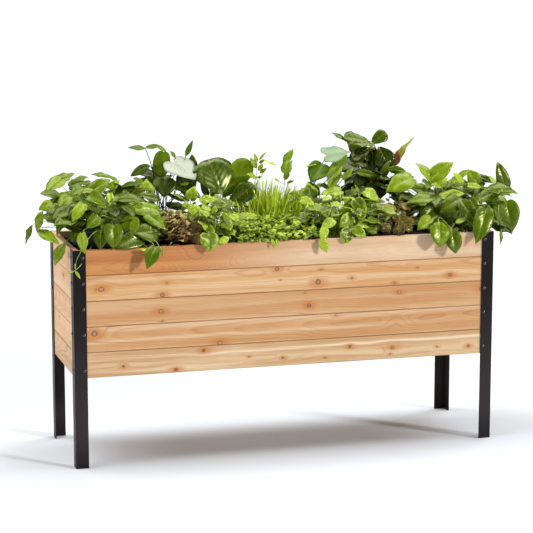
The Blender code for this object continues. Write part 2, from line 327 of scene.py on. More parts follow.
def dress_boards():
    length = BOARD_HIGH.x - BOARD_LOW.x
    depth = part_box("left_end_board_1")[1].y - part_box("left_end_board_1")[0].y
    for row, look in enumerate(FRONT_BOARDS):
        low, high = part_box(f"front_board_{row + 1}")
        middle = (low.z + high.z) / 2
        paint(f"front_board_{row + 1}", cedar(f"cedar_front_{row + 1}", middle, **look))
        paint(f"back_board_{row + 1}", cedar(
            f"cedar_back_{row + 1}", middle, BACK_TONES[row], 11 + row, 0.0048,
            (0.02 - 0.01 * row, 0.04), 0.02, spread_knots(40 + row, length, 6)))
        for side, start in (("left", 21), ("right", 31)):
            paint(f"{side}_end_board_{row + 1}", cedar(
                f"cedar_{side}_end_{row + 1}", middle, HONEY if row == 4 else PALE, start + row, 0.0046,
                (-0.03 + 0.015 * row, 0.04), 0.05, spread_knots(start + row, depth, 1 + row % 2), "y"))
    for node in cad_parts:
        if node.startswith("floor_"):
            paint(node, cedar("cedar_" + node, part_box(node)[0].z, PLAIN, 50 + len(node) + ord(node[-1]),
                              0.005, along="x" if "cleat" in node else "y"))


# ---- steel and screws ----


def powder_coat():
    n = Nodes("black_powder_coat")
    place = n.object_place()
    wear = n.noise(place, 9.0, 4.0, 0.6)
    height = n.split(place)[2]
    # Painted reflection: the coat is painted lighter on the legs below about 0.66 m, for the bright floor
    # that the satin paint reflects, and less light again at the feet, where the floor nearby is in shade.
    painted_floor_reflection = height.span(0.12, 0.66, 1.0, 0.0) * height.span(0.0, 0.12, 0.3, 1.0)
    colour = n.mix(wear.span(0.35, 0.7), srgb(10, 8, 8), srgb(17, 14, 15))
    n.set(Base_Color=n.mix(painted_floor_reflection, colour, srgb(46, 39, 40)), Roughness=wear.span(0.3, 0.7, 0.38, 0.52))
    n.set(Specular_IOR_Level=0.15, Specular_Tint=srgb(255, 240, 236))
    n.set(Normal=n.bump(n.noise(place, 900.0, 2.0, 0.6), 0.25, 0.0002))
    return n.material


def screw_finish():
    n = Nodes("black_zinc")
    grain = n.noise(n.object_place(), 1500.0, 2.0, 0.5)
    n.set(Base_Color=n.mix(grain, srgb(62, 60, 60), srgb(98, 95, 94)), Metallic=0.8)
    n.set(Roughness=grain.span(0.3, 0.7, 0.16, 0.28))
    return n.material


HEAD_RADIUS = 0.0056
HEAD_HEIGHT = 0.0028
HEAD_SIDES = 32
RECESS_HALF_LENGTH = 0.0027
RECESS_HALF_WIDTH = 0.0006
SHANK_RADIUS = 0.0021
SHANK_LENGTH = 0.018


def link(made):
    bpy.context.scene.collection.objects.link(made)
    return made


def outward_mesh(bm, name):
    """The bmesh as a mesh object whose faces all look outwards."""
    bmesh.ops.recalc_face_normals(bm, faces=bm.faces)
    mesh = bpy.data.meshes.new(name)
    bm.to_mesh(mesh)
    bm.free()
    return link(bpy.data.objects.new(name, mesh))


def screw_blank():
    """A pan-head screw pointing down -Z, with a short pointed shank."""
    bm = bmesh.new()
    profile = [(0.0, -SHANK_LENGTH), (SHANK_RADIUS, -SHANK_LENGTH * 0.75), (SHANK_RADIUS, -0.0001),
               (SHANK_RADIUS * 1.2, 0.0), (HEAD_RADIUS, 0.0), (HEAD_RADIUS, HEAD_HEIGHT * 0.3)]
    for degrees in (25, 50, 70, 84):
        angle = math.radians(degrees)
        profile.append((HEAD_RADIUS * math.cos(angle) ** 0.55, HEAD_HEIGHT * (0.3 + 0.7 * math.sin(angle))))
    profile.append((0.0, HEAD_HEIGHT * 1.01))
    loops = []
    for radius, height in profile:
        turns = [math.tau * i / HEAD_SIDES for i in range(HEAD_SIDES if radius else 1)]
        loops.append([bm.verts.new((radius * math.cos(a), radius * math.sin(a), height)) for a in turns])
    for lower, upper in zip(loops, loops[1:]):
        for i in range(HEAD_SIDES):
            j = (i + 1) % HEAD_SIDES
            pairs = ((lower, i), (lower, j), (upper, j), (upper, i))
            bm.faces.new(list(dict.fromkeys(ring[k % len(ring)] for ring, k in pairs)))
    return outward_mesh(bm, "screw_blank")


def recess_cutter():
    """Two crossed wedges, narrower at the bottom."""
    bm = bmesh.new()
    ends = ((RECESS_HALF_LENGTH, HEAD_HEIGHT * 1.5), (RECESS_HALF_LENGTH * 0.35, HEAD_HEIGHT * 0.15))
    for along_x in (True, False):
        corners = []
        for length, height in ends:
            for sign_l, sign_w in ((-1, -1), (1, -1), (1, 1), (-1, 1)):
                a, b = sign_l * length, sign_w * RECESS_HALF_WIDTH
                corners.append(bm.verts.new((a, b, height) if along_x else (b, a, height)))
        upper, lower = corners[:4], corners[4:]
        bm.faces.new(upper)
        bm.faces.new(lower[::-1])
        for i in range(4):
            j = (i + 1) % 4
            bm.faces.new((upper[i], lower[i], lower[j], upper[j]))
    return outward_mesh(bm, "screw_recess")


def cut_screw():
    """The screw with its cross recess, as a plain mesh that all the screws share."""
    body, cutter = screw_blank(), recess_cutter()
    cut = body.modifiers.new("recess", "BOOLEAN")
    cut.operation = "DIFFERENCE"
    cut.object = cutter
    cut.solver = "EXACT"
    cut.use_self = True
    graph = bpy.context.evaluated_depsgraph_get()
    mesh = bpy.data.meshes.new_from_object(body.evaluated_get(graph))
    mesh.shade_smooth()
    mesh.set_sharp_from_angle(angle=math.radians(40))
    mesh.materials.clear()
    mesh.materials.append(screw_finish())
    bpy.data.objects.remove(body)
    bpy.data.objects.remove(cutter)
    return mesh


SCREW_FROM_CORNER = 0.0345
SCREW_FROM_EDGE = 0.295 * BOARD_PITCH


def screw_heights():
    """One screw high on each board but the lowest, whose screw is low."""
    heights = [RIM - row * BOARD_PITCH - SCREW_FROM_EDGE for row in range(BOARD_ROWS - 1)]
    return heights + [RIM - BOARD_ROWS * BOARD_PITCH + SCREW_FROM_EDGE]


def add_screws():
    mesh = cut_screw()
    draw = random.Random(7)
    for depth_name, out_y in (("front", -1), ("back", 1)):
        for side_name, out_x in (("left", -1), ("right", 1)):
            low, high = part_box(f"leg_{depth_name}_{side_name}")
            corner = Vector((low.x if out_x < 0 else high.x, low.y if out_y < 0 else high.y, 0))
            flanges = (("long", Vector((-out_x * SCREW_FROM_CORNER, 0, 0)), Vector((0, out_y, 0))),
                       ("end", Vector((0, -out_y * SCREW_FROM_CORNER, 0)), Vector((out_x, 0, 0))))
            for i, height in enumerate(screw_heights()):
                for face, inward, normal in flanges:
                    screw = link(bpy.data.objects.new(f"screw_{depth_name}_{side_name}_{face}_{i + 1}", mesh))
                    spin = Matrix.Rotation(draw.uniform(0, math.pi), 4, "Z")
                    turn = normal.to_track_quat("Z", "Y").to_matrix().to_4x4()
                    place = Matrix.Translation(corner + inward + Vector((0, 0, height)))
                    screw.matrix_world = place @ turn @ spin
                    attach(screw, "root")


# ---- meshes made of rows of points ----


def band_faces(rows, columns, loop=True, first=0):
    """Four-sided faces between rows of points, whose first point has the number given. In a loop
    each row's last point joins its first."""
    faces = []
    for i in range(rows - 1):
        for k in range(columns if loop else columns - 1):
            a, b = first + i * columns + k, first + i * columns + (k + 1) % columns
            faces.append((a, b, b + columns, a + columns))
    return faces


def cap_faces(rows, columns):
    """The two faces that close the ends of looped bands."""
    last = (rows - 1) * columns
    return [tuple(range(columns - 1, -1, -1)), tuple(range(last, last + columns))]


def smooth_object(name, points, faces, materials):
    mesh = bpy.data.meshes.new(name)
    mesh.from_pydata([tuple(p) for p in points], [], faces)
    for material in materials:
        mesh.materials.append(material)
    mesh.shade_smooth()
    return link(bpy.data.objects.new(name, mesh))


def thicken(made, name, thickness, offset):
    shell = made.modifiers.new(name, "SOLIDIFY")
    shell.thickness = thickness
    shell.offset = offset
    return shell


# ---- leaf and stem shapes ----

# Half of each kind's outline, from where the stalk joins to the tip: two cubic curves, their
# points given as (share of the length, share of the half width).
OUTLINES = {
    "heart": ((-0.09, 0.12), (-0.20, 0.90), (0.26, 1.00), (0.60, 1.08), (0.80, 0.30)),
    "anthurium": ((-0.20, 0.02), (-0.46, 0.72), (0.06, 1.00), (0.46, 1.12), (0.82, 0.42)),
    "oval": ((0.02, 0.22), (0.12, 0.98), (0.42, 1.00), (0.70, 1.02), (0.90, 0.34)),
    "fiddle": ((0.02, 0.16), (0.22, 0.72), (0.58, 1.00), (0.86, 1.22), (1.01, 0.52)),
    "round": ((-0.06, 0.20), (-0.08, 0.95), (0.42, 1.00), (0.82, 1.04), (1.00, 0.62)),
    "lance": ((0.04, 0.20), (0.18, 0.92), (0.38, 1.00), (0.62, 1.00), (0.86, 0.22)),
}
RINGS = (0.22, 0.45, 0.66, 0.84, 1.0)  # copies of the outline inside a leaf, by their size
FEW_RINGS = (0.5, 1.0)
LEAF_THICKNESS = 0.0006
BLADE_ROWS = 9
PATH_STEPS = 5


def bezier(points, steps):
    a, b, c, d = (np.array(p, float) for p in points)
    t = np.linspace(0, 1, steps + 1)[:, None]
    return a * (1 - t) ** 3 + 3 * b * t * (1 - t) ** 2 + 3 * c * t * t * (1 - t) + d * t**3


def outline(kind, steps, teeth):
    """The closed edge of a leaf one long and two half-widths wide, starting at the stalk."""
    if kind == "palmate":
        angle = np.linspace(math.pi, -math.pi, 6 * steps + 1)[:-1]
        lobes = 0.70 + 0.30 * np.abs(np.cos(2.5 * angle)) ** 0.8
        lobes = lobes * (1 + 0.10 * np.sign(np.sin(17 * angle))) * (0.55 + 0.45 * np.cos(angle / 2) ** 0.3)
        return np.stack([0.45 + 0.55 * lobes * np.cos(angle), lobes * np.sin(angle)], 1)
    c1, c2, middle, c3, c4 = OUTLINES[kind]
    lower = bezier(((0, 0), c1, c2, middle), steps)
    upper = bezier((middle, c3, c4, (1, 0)), steps)[1:]
    half = np.concatenate([lower, upper])
    if teeth:
        half[:, 1] *= 1 + 0.11 * (np.arange(len(half)) % 2) * (half[:, 0] > 0.1)
    return np.concatenate([half, half[-2:0:-1] * (1, -1)])


class Growth:
    """Leaves or stems gathered up to become one mesh. Each point has two marks for the finish:
    leaf is (place along, place across, share of the way to the edge) and look (tone, chance, 0)."""

    def __init__(self):
        self.points, self.faces, self.leaf, self.look = [], [], [], []
        self.count = 0

    def add(self, points, faces, leaf=None, look=(0.5, 0.5, 0.0)):
        self.points.append(points)
        self.faces.extend([tuple(int(i) + self.count for i in face) for face in faces])
        self.leaf.append(np.zeros((len(points), 3)) if leaf is None else leaf)
        self.look.append(np.tile(look, (len(points), 1)))
        self.count += len(points)

    def build(self, name, materials):
        made = smooth_object(name, np.concatenate(self.points).tolist(), self.faces, materials)
        for label, rows in (("leaf", self.leaf), ("look", self.look)):
            layer = made.data.attributes.new(label, "FLOAT_VECTOR", "POINT")
            layer.data.foreach_set("vector", np.concatenate(rows).astype(np.float32).ravel())
        return made


def add_leaf(growth, draw, kind, base, tip, width, face, tone, bend, fold, wave, fine=True, teeth=False):
    """One leaf from base to tip, in metres. face is the way its upper side looks, width its share
    of the length, and bend the angle in radians that it curls down through."""
    base, tip, face = (np.array(v, float) for v in (base, tip, face))
    face = face + np.array([draw.uniform(-0.22, 0.22) for _ in face])
    edge = outline(kind, 7 if fine else 3, teeth)
    rings = RINGS if fine else FEW_RINGS
    flat = np.concatenate([[[0.0, 0.0]]] + [edge * r for r in rings])
    outer = np.concatenate([[0.0]] + [np.full(len(edge), r) for r in rings])
    x, y = flat[:, 0], flat[:, 1] * width / 2
    side = np.abs(y) / (width / 2)
    phase = draw.uniform(0, math.tau)

    # The halves fold up from the midrib and turn down again, and the edge waves.
    lift = fold * np.abs(y) - 0.5 * fold * side**2 * width
    lift = lift + wave * outer**2 * side * np.sin(9 * x + phase + np.sign(y)) * 0.6
    lift = lift + wave * 0.35 * np.sin(23 * x + 2 * phase) * outer**2 * side

    # The leaf curls down along its length and twists a little.
    bend = bend * draw.uniform(0.7, 1.3)
    angle = bend * np.clip(x, -0.4, 1.2)
    run, drop = np.sin(angle) / bend, (1 - np.cos(angle)) / bend
    run, high = run + lift * np.sin(angle), -drop + lift * np.cos(angle)
    twist = draw.uniform(-0.35, 0.35) * x
    marks = np.stack([x, y, outer], 1)
    y, high = y * np.cos(twist), high + y * np.sin(twist)

    # It is turned and sized so that its tip comes where it is wanted.
    reach, fall = math.sin(bend) / bend, -(1 - math.cos(bend)) / bend
    pitch = math.atan2(fall, reach)
    run, high = run * math.cos(pitch) + high * math.sin(pitch), high * math.cos(pitch) - run * math.sin(pitch)
    chord = tip - base
    size = np.linalg.norm(chord) / math.hypot(reach, fall)
    along = chord / np.linalg.norm(chord)
    up = face - along * face.dot(along)
    up = up / np.linalg.norm(up)
    across = np.cross(up, along)
    points = base + size * (run[:, None] * along + y[:, None] * across + high[:, None] * up)
    around = len(edge)
    centre = [(0, 1 + (i + 1) % around, 1 + i) for i in range(around)]
    growth.add(points, centre + band_faces(len(rings), around, first=1), marks, (tone, draw.random(), 0.0))


def smooth_path(points):
    """Catmull-Rom through three or more points."""
    ends = [2 * points[0] - points[1], *points, 2 * points[-1] - points[-2]]
    made = []
    for a, b, c, d in zip(ends, ends[1:], ends[2:], ends[3:]):
        for t in np.linspace(0, 1, PATH_STEPS, endpoint=False):
            made.append(0.5 * (2 * b + (c - a) * t + (2 * a - 5 * b + 4 * c - d) * t * t
                               + (3 * b - a - 3 * c + d) * t**3))
    made.append(points[-1])
    return np.array(made)


def add_tube(growth, points, radius, tip_radius, sides=6, look=(0.5, 0.5, 0.0)):
    """A stem along smoothly joined points."""
    points = smooth_path([np.array(p, float) for p in points])
    ahead = np.gradient(points, axis=0)
    ahead /= np.linalg.norm(ahead, axis=1, keepdims=True) + 1e-12
    side = np.cross(ahead[0], (0.3, 0.9, 0.2))
    made = []
    for i, (point, forward) in enumerate(zip(points, ahead)):
        side = side - forward * side.dot(forward)
        side /= np.linalg.norm(side)
        other = np.cross(forward, side)
        r = radius + (tip_radius - radius) * i / (len(points) - 1)
        for k in range(sides):
            turn = math.tau * k / sides
            made.append(point + r * (math.cos(turn) * side + math.sin(turn) * other))
    faces = band_faces(len(points), sides) + cap_faces(len(points), sides)
    growth.add(np.array(made), faces, None, look)


def add_blade(growth, draw, foot, tip, width, tone, sag=0.02):
    """A narrow grass-like leaf, folded along its middle."""
    foot, tip = np.array(foot, float), np.array(tip, float)
    middle = (foot + tip) / 2 + np.array((0, 0, np.linalg.norm((tip - foot)[:2]) * 0.45 + sag))
    t = np.linspace(0, 1, BLADE_ROWS)[:, None]
    spine = foot * (1 - t) ** 2 + 2 * middle * t * (1 - t) + tip * t * t
    turn = draw.uniform(0, math.tau)
    out = np.array((math.cos(turn), math.sin(turn), 0.0))
    half = width / 2 * np.minimum(1, 0.45 + 2.2 * t) * (1 - t**2.2)
    ridge = np.array((-out[1], out[0], 0.0)) * half * 0.35
    rows = np.stack([spine - out * half, spine + ridge, spine + out * half], 1).reshape(-1, 3)
    across, outer = np.tile((-0.1, 0, 0.1), BLADE_ROWS), np.tile((1, 0, 1), BLADE_ROWS)
    marks = np.stack([np.repeat(t[:, 0], 3), across, outer], 1)
    growth.add(rows, band_faces(BLADE_ROWS, 3, loop=False), marks, (tone, draw.random(), 0.0))


# ---- foliage finishes ----

TOP_ROUGH = 0.22  # the least roughness of a leaf's upper side
UNDER_ROUGH = 0.5


def leaf_finish(name, dark, mid, light, vein, pale=None, patch=None, patches=0.0, edge=None,
                rough=TOP_ROUGH, rib=None, vein_count=9.0, vein_show=0.3, spots=None, shine=0.5,
                emboss=0.45, sheen=srgb(255, 252, 180), dull=False):
    """Leaf skin: a leaf's tone runs from dark through mid and light to pale, with a midrib, side
    veins and, where their colours are given, patches, an edge and spots. rough is the least
    roughness, shine the specular level and emboss the strength of the relief. dull is for the
    underside."""
    n = Nodes(name)
    along, across, outer = n.split(n.attribute("leaf"))
    tone, chance, _ = n.split(n.attribute("look"))
    lag = chance * 37.0
    mottle = n.noise(n.join(along * 3.0, across * 5.0, lag), 1.6, 3.0, 0.6)
    wanted = tone + (mottle - 0.5) * 0.45 + (chance - 0.5) * 0.16
    colour = n.ramp(wanted, (0.0, dark), (0.5, mid), (0.85, light), (1.0, pale or light))
    away = across.math("ABSOLUTE")
    midrib = away.span(0.004, 0.016, 1.0, 0.0)
    row = ((along - away * 0.85) * vein_count).math("FRACT")
    gap = (row - 0.5).math("ABSOLUTE")
    veins = gap.span(0.02, 0.09, 1.0, 0.0) * outer.span(0.55, 1.0, 1.0, 0.25)
    if patch:
        mask = n.noise(n.join((along - away * 0.7) * 9.0, across * 3.0, lag), 1.3, 3.0, 0.65)
        reach = (mask + (tone - 0.5) * 0.22).span(0.60 - patches, 0.68 - patches)
        colour = n.mix(reach * 0.8, colour, patch)
    if edge:
        margin = outer + (mottle - 0.5) * 1.1
        colour = n.mix(margin.span(0.70, 1.05) * 0.75, colour, edge)
    if spots:
        dots = n.cells(n.join(along * 6.0, across * 6.0, lag), 1.0)
        colour = n.mix(dots.span(0.16, 0.4, 1.0, 0.0) * mottle.span(0.42, 0.6), colour, spots)
    colour = n.mix(veins * vein_show, colour, vein)
    colour = n.mix(midrib * (0.75 if rib else 0.35), colour, rib or vein)
    if dull:
        colour = n.mix(0.22, colour, srgb(156, 172, 40))
    relief = gap.span(0.0, 0.5) * 0.6 + midrib * -0.45 + mottle * 0.35
    n.set(Base_Color=colour, Roughness=mottle.span(0.3, 0.7, rough, rough + 0.12))
    n.set(Specular_IOR_Level=0.1 if dull else shine, Specular_Tint=sheen)
    n.set(Subsurface_Weight=0.12, Subsurface_Scale=0.003, Subsurface_Radius=(0.6, 1.0, 0.2))
    n.set(Normal=n.bump(relief, 0.7 if dull else emboss, 0.0009))
    return n.material


def both_sides(name, **look):
    """A leaf's finish and that of its underside, which is rougher."""
    rough = look["rough"] + 0.26 if "rough" in look else UNDER_ROUGH
    under = dict(look, rough=rough, dull=True)
    return leaf_finish(name, **look), leaf_finish(name + "_underside", **under)


def stem_finish(name, pale, deep):
    n = Nodes(name)
    place = n.object_place()
    streak = n.noise(n.stretch(place, (60, 60, 12)), 1.0, 3.0, 0.6)
    n.set(Base_Color=n.mix(streak.span(0.3, 0.7), deep, pale), Roughness=0.5)
    n.set(Normal=n.bump(n.noise(place, 900.0, 2.0, 0.5), 0.3, 0.0004))
    return n.material


def leaf_tones(dark, mid, light, vein, **more):
    return {"dark": srgb(*dark), "mid": srgb(*mid), "light": srgb(*light), "vein": srgb(*vein), **more}


GREEN = leaf_tones((29, 40, 1), (81, 106, 1), (144, 167, 29), (140, 163, 38))
WAXY = leaf_tones((12, 23, 0), (69, 94, 1), (140, 169, 15), (100, 121, 42),
                  sheen=srgb(240, 255, 176), vein_count=6.0)
SKINS = {
    "pothos": dict(GREEN, patch=srgb(172, 190, 104), patches=-0.05),
    "variegated": dict(GREEN, patch=srgb(190, 204, 118), patches=-0.02, edge=srgb(156, 178, 48),
                       vein_show=0.12),
    # The glossy skin's pale tone is a painted highlight: it gives the tall anthurium's big leaf (tone 1.05) a
    # silvery colour for the glare of the overhead light on it.
    "glossy": dict(WAXY, pale=srgb(162, 164, 152), rough=0.3, shine=0.42, vein_show=0.55, emboss=0.2),
    "fiddle": dict(WAXY, rib=srgb(136, 92, 44), rough=0.2, shine=0.55, vein_show=0.4, emboss=0.5),
    "pale_glossy": leaf_tones((16, 38, 4), (88, 124, 8), (150, 176, 36), (136, 160, 86),
                              pale=srgb(132, 152, 122), rough=0.3, shine=0.35, emboss=0.2),
    "fresh": leaf_tones((60, 81, 3), (117, 144, 12), (169, 188, 60), (186, 200, 86)),
    "grass": leaf_tones((92, 118, 3), (162, 190, 14), (220, 232, 84), (200, 214, 90), emboss=0.1),
    "rusty": leaf_tones((60, 22, 12), (108, 66, 34), (176, 172, 100), (200, 196, 124),
                        spots=srgb(160, 36, 44), rough=0.5, vein_show=0.5),
    "spotted": leaf_tones((36, 26, 8), (86, 76, 24), (146, 144, 66), (158, 152, 84),
                          spots=srgb(150, 60, 30), vein_show=0.6, vein_count=5.0),
    "flame": leaf_tones((110, 44, 26), (120, 110, 30), (150, 172, 44), (200, 150, 60),
                        patch=srgb(170, 60, 30), patches=-0.05),
}
# Stalks: name, pale colour, deep colour.
STALKS = (("green", (170, 186, 84), (110, 140, 44)), ("brown", (120, 84, 50), (66, 50, 32)),
          ("red", (150, 84, 70), (96, 56, 44)), ("dark", (84, 104, 48), (38, 54, 22)))


# ---- how a plant grows ----

# The ways that a leaf's upper side looks.
UP = (-0.02, -0.68, 0.7)
FRONT = (-0.06, -0.93, 0.32)
LEFT = (-0.8, -0.5, 0.35)
RIGHT = (0.5, -0.75, 0.4)
AWAY = (0.3, 0.9, 0.3)
BED = 71.5  # the soil's height, in centimetres


def cm(point):
    return np.array(point, float) / 100


def petiole(growth, draw, root, leaf_base, leaf_tip, radius):
    """The stalk from a root to a leaf, arching over to meet it."""
    root, base, tip = (np.array(p, float) for p in (root, leaf_base, leaf_tip))
    into = (tip - base) / np.linalg.norm(tip - base)
    rise = 0.4 * (base - root)
    low = root + np.array((rise[0] * 0.3, rise[1] * 0.3, max(rise[2], 0.01) * 1.1))
    near = base - into * 0.012 + np.array((0, 0, 0.004)) - 0.15 * (base - root)
    add_tube(growth, (root, low, near, base + into * 0.002), radius, radius * 0.75,
             look=(draw.uniform(0.3, 0.8), draw.random(), 0.0))


def fill_leaf(draw, low, high, sizes):
    """A leaf's base, tip, width and face, somewhere in a box and pointing out of its middle."""
    place = np.array([draw.uniform(a, b) for a, b in zip(low, high)]) / 100
    out = place - (np.array(low) + np.array(high)) / 200
    turn = math.atan2(out[1], out[0]) + draw.uniform(-0.9, 0.9)
    fall = draw.uniform(-0.6, 0.35)
    length = draw.uniform(*sizes) / 100
    tip = place + length * np.array((math.cos(turn), math.sin(turn), fall)) / math.hypot(1, fall)
    face = (draw.uniform(-0.4, 0.4) + 0.5 * math.cos(turn), -0.45 + 0.4 * math.sin(turn), 0.75)
    return place, tip, draw.uniform(0.55, 0.85), face


def grow(name, leaves, finish, stem_look, root, seed, stalk=0.0013, spread=0.02, bend=0.6,
         fold=0.24, wave=0.08, fill=(), stalks=True, vines=(), extra=None, teeth=False):
    """A plant made of leaves (kind, base, tip, width, face, tone), of fill (count, low corner,
    high corner, (shortest, longest), kind, (darkest, lightest tone)) and of vines (radius in
    millimetres, points). Places and leaf lengths are in centimetres. In metres, stalk is the
    stalks' radius and spread how far their feet lie from the root."""
    draw = random.Random(seed)
    skin, wood = Growth(), Growth()
    root = cm(root)

    def add_stalk(base, tip):
        foot = root + np.array((draw.uniform(-spread, spread), draw.uniform(-spread, spread), 0))
        petiole(wood, draw, foot, base, tip, stalk)

    for kind, base, tip, width, face, tone, *bare in leaves:
        add_leaf(skin, draw, kind, cm(base), cm(tip), width, face, tone, bend, fold, wave, teeth=teeth)
        if stalks and not bare:
            add_stalk(cm(base), cm(tip))
    for count, low, high, sizes, kind, shades in fill:
        for _ in range(count):
            base, tip, width, face = fill_leaf(draw, low, high, sizes)
            add_leaf(skin, draw, kind, base, tip, width, face, draw.uniform(*shades), bend, fold, wave,
                     teeth=teeth)
            add_stalk(base, tip)
    for radius, *points in vines:
        add_tube(wood, [cm(p) for p in points], radius / 1000, radius / 1500)
    if extra:
        extra(skin, wood, draw)
    made = skin.build(name + "_leaves", finish)
    thicken(made, "thickness", LEAF_THICKNESS, -1.0).material_offset = 1
    pieces = [made] + ([wood.build(name + "_stems", [stem_look])] if wood.points else [])
    for piece in pieces:
        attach(piece, "root")
    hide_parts(name)


# ---- each plant, with its leaves placed against the photograph ----

LEFT_POTHOS = (
    ("lance", (-88, -11, 84), (-90.5, -11, 77), 0.35, LEFT, 0.35),
    ("heart", (-81, -10, 90.5), (-86, -11, 89), 0.8, UP, 0.6),
    ("oval", (-84.5, -11, 88.5), (-86.5, -12, 81), 0.5, LEFT, 0.55),
    ("oval", (-86.5, -12, 82), (-79.5, -14, 77.3), 0.5, UP, 0.7),
    ("lance", (-77.5, -15, 78), (-81.5, -16, 70), 0.5, LEFT, 0.6),
    ("heart", (-73.2, -23, 82), (-72.6, -24.4, 75.3), 0.62, LEFT, 0.8),
    ("heart", (-76, -16, 90), (-81, -18, 80.5), 0.5, LEFT, 0.2),
    ("heart", (-75, -10, 93), (-78.3, -12, 87.2), 0.95, UP, 0.65),
    ("heart", (-76.8, -4, 98.2), (-82.6, -6, 94), 0.85, UP, 0.58),
    ("heart", (-73.4, 2, 98.4), (-79.6, 1, 96.2), 0.72, UP, 0.5),
    ("oval", (-75, 4, 96.8), (-70.3, 5, 99), 0.5, UP, 0.55),
    ("heart", (-74, -5, 95.8), (-68.4, -6, 97.4), 0.7, UP, 0.3),
    ("lance", (-71.6, 0, 97), (-66, 1, 98), 0.45, UP, 0.4),
    ("oval", (-69, -3, 96), (-66, -3, 97), 0.6, UP, 0.4),
    ("heart", (-71, -10, 96), (-75, -12, 93), 0.7, UP, 0.5),
    ("oval", (-66, -8, 94.5), (-71.5, -9, 94), 0.5, UP, 0.62),
    ("heart", (-66, -2, 93), (-58.5, 0, 97), 0.65, UP, 0.5),
    ("oval", (-55.5, 3, 96.4), (-65, 3, 98.6), 0.42, (-0.1, -0.45, 0.9), 0.45),
    ("heart", (-59, 0, 94), (-55, 1, 96.5), 0.6, UP, 0.6),
    ("heart", (-68, -12, 93.5), (-62.5, -14, 88.5), 0.75, UP, 0.35),
    ("heart", (-61, -11, 93.5), (-61.3, -12, 89.3), 0.65, FRONT, 1.0),
    ("oval", (-66.5, -16, 87.3), (-57.7, -17, 87.3), 0.38, UP, 0.3),
    ("heart", (-71.8, -19, 91.5), (-76, -20, 85.5), 0.6, UP, 0.7),
    ("heart", (-67, -20, 87), (-71.5, -21.5, 83.5), 0.75, FRONT, 0.55),
    ("heart", (-66.5, -21.5, 82.6), (-67, -23, 76), 0.75, FRONT, 0.12),
    ("heart", (-62.3, -21.5, 84), (-62.5, -23, 76), 0.85, FRONT, 0.28),
    ("heart", (-55.5, -18.5, 86), (-57, -20.5, 79.5), 0.95, AWAY, 0.7),
    ("heart", (-52.5, -20.5, 79.4), (-63.5, -22.9, 76.6), 0.55, FRONT, 0.2),
    ("heart", (-47, -19, 80.5), (-55.5, -20.5, 81), 0.85, FRONT, 0.25),
    ("heart", (-45, -13, 87.5), (-57, -15, 88.3), 0.45, UP, 0.6),
    ("heart", (-49, -16, 86.5), (-42.8, -19, 81), 0.6, UP, 0.55),
    ("heart", (-50.5, -8, 91), (-55.5, -9, 89.5), 0.7, UP, 0.5),
    ("heart", (-46.6, -1, 91), (-46, -1, 97), 1.1, FRONT, 0.8),
    ("oval", (-46.3, 3, 95), (-50, 3, 96.8), 0.6, UP, 0.4),
    ("round", (-43.8, 4, 94.5), (-43.5, 4, 97.3), 0.95, FRONT, 0.45),
    ("oval", (-49, -8, 92), (-42.5, -8, 90), 0.55, UP, 0.15),
    ("heart", (-48.5, -25.5, 76.5), (-52, -27.3, 69.5), 0.62, FRONT, 0.4),
    ("oval", (-51, -25, 75.5), (-54, -25, 76), 0.4, UP, 0.9),
    ("lance", (-47, -25, 77), (-46, -25.5, 73.3), 0.4, RIGHT, 0.5),
    ("lance", (-76, -24.6, 69.7), (-74.3, -24.8, 66.8), 0.3, FRONT, 0.8),
    ("lance", (-76.5, -24.6, 69.5), (-79, -24.6, 68.8), 0.25, UP, 0.8),
    ("heart", (-57, -10, 92), (-61, -13, 91), 0.6, UP, 0.5),
    ("heart", (-78, -8, 90), (-82, -10, 86), 0.7, LEFT, 0.3),
    ("heart", (-54, -14, 86), (-50, -16, 83), 0.7, FRONT, 0.1),
)

TALL_ANTHURIUM = (
    ("oval", (-45, 5, 107), (-51.2, 5, 107.3), 0.42, UP, 0.4, "bare"),
    ("oval", (-44.9, 5, 107.2), (-39.6, 4, 107.8), 0.42, UP, 0.5, "bare"),
    ("oval", (-40.8, 5, 107.7), (-37.4, 5, 105.6), 0.5, UP, 0.5, "bare"),
    ("round", (-38.6, 4, 105.6), (-40.6, 3, 96.8), 0.68, AWAY, 0.32),
    # Painted highlight: this leaf's tone reaches the glossy skin's silvery pale, for glare.
    ("anthurium", (-34.6, 3, 101.6), (-28.6, -2, 96.0), 1.45, UP, 1.05),
    ("oval", (-34, 5, 103.3), (-36, 5, 105.7), 0.6, UP, 0.55),
    ("oval", (-27.5, 6, 97), (-27.8, 6, 104.3), 0.5, FRONT, 0.35),
    ("lance", (-30.4, 5, 103.5), (-27.5, 5, 109.6), 0.3, FRONT, 0.45),
    ("oval", (-43.4, 5, 101), (-50.7, 4, 97.3), 0.42, UP, 0.2),
    ("anthurium", (-39, 1, 95.6), (-40.2, -2, 90.3), 1.35, FRONT, 0.12),
    ("oval", (-34, -2, 94.5), (-30.8, -2, 95), 0.4, UP, 0.6),
    ("oval", (-48, -4, 91.5), (-42, -5, 89.7), 0.4, UP, 0.1),
    ("oval", (-36, 0, 90), (-30.5, -2, 88.5), 0.5, UP, 0.15),
)

LEFT_FIDDLE = (
    ("fiddle", (-29.5, 6, 88.5), (-30.5, 5, 98.5), 0.72, FRONT, 0.28),
    ("fiddle", (-18.6, 0, 90.3), (-22.4, 4, 102.4), 1.22, (0.25, -0.9, 0.3), 0.3),
    ("fiddle", (-17.4, 3, 88.6), (-8.3, 1, 102.2), 0.5, AWAY, 0.62),
    ("fiddle", (-16.2, 1, 85.6), (-6.6, 0, 93.3), 0.55, FRONT, 0.28),
    ("oval", (-22, 5, 88.8), (-25.3, 4, 94), 0.42, FRONT, 0.2),
    ("fiddle", (-24, 8, 88), (-33, 9, 94), 0.6, UP, 0.15),
    ("fiddle", (-20, 9, 88), (-14, 12, 97), 0.6, AWAY, 0.2),
)

